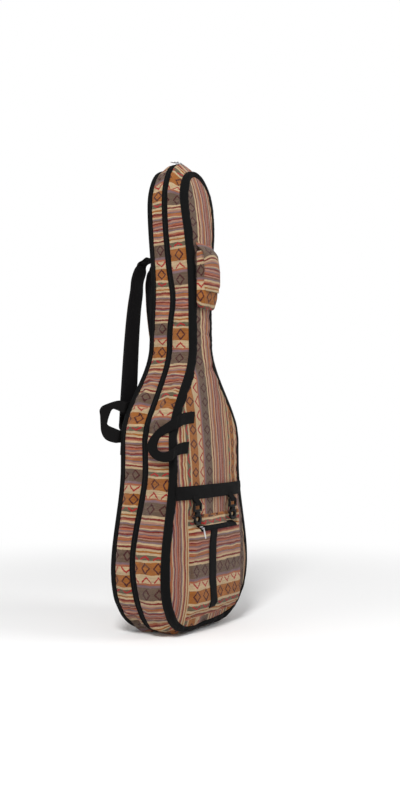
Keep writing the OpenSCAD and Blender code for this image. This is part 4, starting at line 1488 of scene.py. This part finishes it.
def build_flap(pouch_skin):
    """Flap that comes out of the panel, rounds over the pouch and hangs in front of it."""
    low, high = node_box("pouch_flap")
    pos, _ = joint("flap_lift")
    top = high[2]
    back = spot(SKIN[True], 0.0, top)
    drop = top - low[2]
    reach = back - low[1]
    front = low[1] - 1.5
    path = smooth_path([(back + 1, top + 11), (back - 3, top + 6), (back - reach * 0.45, top + 1),
                        (front + 6, top - 8), (front + 1.5, top - 22), (front, top - drop * 0.5),
                        (front + 1.5, top - drop * 0.8), (front + 4, low[2])], 56)
    y, z = path[:, :1], path[:, 1:]
    across = np.linspace(-1, 1, 25)[None, :]
    length = np.linspace(0, 1, len(path))[:, None]
    hang = smoothstep(length, 0.22, 0.5)
    crest = np.sin(math.pi * np.clip(length / 0.6, 0, 1))
    round_low = 1 - 0.2 * smoothstep(length, 0.85, 1.0) * np.abs(across) ** 3
    round_top = 1 - 0.08 * crest * np.abs(across) ** 2
    x = (low[0] + high[0]) / 2 + (high[0] - low[0]) / 2 * across * round_low * round_top
    y = y + (4.5 * np.abs(across) ** 4 * hang + 4.0 * crest * across**2)
    z = z - 5.0 * crest * across**2
    cloth = np.stack([x, GREY_CENTRE + length * (drop + reach) - 24 - 8 * across**2 * crest], -1)
    y = y - lumps(x, z, 8, 22, 1.5) * hang
    y = np.where(hang > 0.4, np.minimum(y, pouch_skin(x, z) - 1.8), y)
    obj = fix_normals(sheet("head_pouch_flap", np.stack([x, y, z], -1), cloth, thick=1.6))
    bend_over(obj)
    finish_piece(obj, None, "woven_cloth", "pouch_flap", "flap_closure_patch")


build_flap(build_pouch())


# ---- CAD pieces that stay

METAL_NODES = ["zip_slider_left", "zip_pull_left", "zip_slider_right", "zip_pull_right",
               "pocket_zip_slider"]
PLASTIC_NODES = [word + part for word in ("left", "right")
                 for part in ("_strap_adjuster", "_hook_eye", "_hook_body", "_hook_gate")]

for name in METAL_NODES + PLASTIC_NODES:
    node = frame["nodes"][name]
    node.data.materials.clear()
    paint(node, METAL if name in METAL_NODES else PLASTIC)
    if name in PLASTIC_NODES:
        soften_edges(node, 0.6, 3)


# ---- stage, lights, camera


BAG_MIDDLE = (0, 0, 0.5)


def floor_material():
    """Pale floor that fades into the white backdrop away from the bag."""
    n = Nodes("pale_floor")
    n.set(Base_Color=(0.93, 0.93, 0.93, 1), Roughness=0.95)
    away = n.new("ShaderNodeVectorMath", operation="LENGTH")
    place = n.new("ShaderNodeTexCoord").outputs["Object"]
    n.link(place, away.inputs[0])
    fade = n.new("ShaderNodeMapRange", interpolation_type="SMOOTHSTEP")
    fade.inputs["From Min"].default_value = 0.45
    fade.inputs["From Max"].default_value = 1.7
    n.link(away.outputs["Value"], fade.inputs["Value"])
    glow = n.new("ShaderNodeEmission")
    shades = (fade.outputs[0], n.bsdf.outputs[0], glow.outputs[0])
    surface = n.join(n.new("ShaderNodeMixShader"), shades)
    n.link(surface, n.tree.nodes["Material Output"].inputs["Surface"])
    return n.material


def build_stage():
    """A pale floor, and a world that is white to the camera and dimmer to the bag."""
    bpy.ops.mesh.primitive_plane_add(size=40.0, location=(0, 0, 0))
    floor = bpy.context.object
    floor.name = "floor"
    floor.data.materials.append(floor_material())
    world = bpy.data.worlds.new("studio")
    bpy.context.scene.world = world
    world.use_nodes = True
    nodes, links = world.node_tree.nodes, world.node_tree.links
    ambient = nodes["Background"]
    backdrop = nodes.new("ShaderNodeBackground")
    for shade, strength in ((ambient, 0.42), (backdrop, 1.0)):
        shade.inputs["Color"].default_value = (1, 1, 1, 1)
        shade.inputs["Strength"].default_value = strength
    mix = nodes.new("ShaderNodeMixShader")
    rays = nodes.new("ShaderNodeLightPath")
    links.new(rays.outputs["Is Camera Ray"], mix.inputs[0])
    links.new(ambient.outputs[0], mix.inputs[1])
    links.new(backdrop.outputs[0], mix.inputs[2])
    links.new(mix.outputs[0], nodes["World Output"].inputs["Surface"])


def aim(obj, location, way):
    """Puts an object at a place, facing a direction."""
    obj.location = location
    obj.rotation_euler = Vector(way).to_track_quat("-Z", "Y").to_euler()


def area_light(name, location, size, power):
    """A square light that faces the middle of the bag."""
    data = bpy.data.lights.new(name, "AREA")
    data.size = size
    data.energy = power
    aim(add_object(name, data), location, Vector(BAG_MIDDLE) - Vector(location))


def build_camera():
    """The camera stands to the front left, level, and sees the left side wall and the front."""
    data = bpy.data.cameras.new("camera")
    data.lens = 43.2
    data.sensor_width = 36.0
    data.shift_y = 0.0275
    camera = add_object("camera", data)
    turn = math.radians(58)
    aim(camera, (-1.849, -1.204, 0.468), (math.sin(turn), math.cos(turn), 0))
    bpy.context.scene.camera = camera


build_stage()
area_light("key", (-2.4, -1.0, 2.9), 0.9, 105)
area_light("fill", (-2.6, 1.6, 1.2), 1.8, 14)
area_light("front_soft", (0.9, -2.8, 1.8), 1.4, 34)
build_camera()
bpy.context.scene.view_settings.view_transform = "Standard"
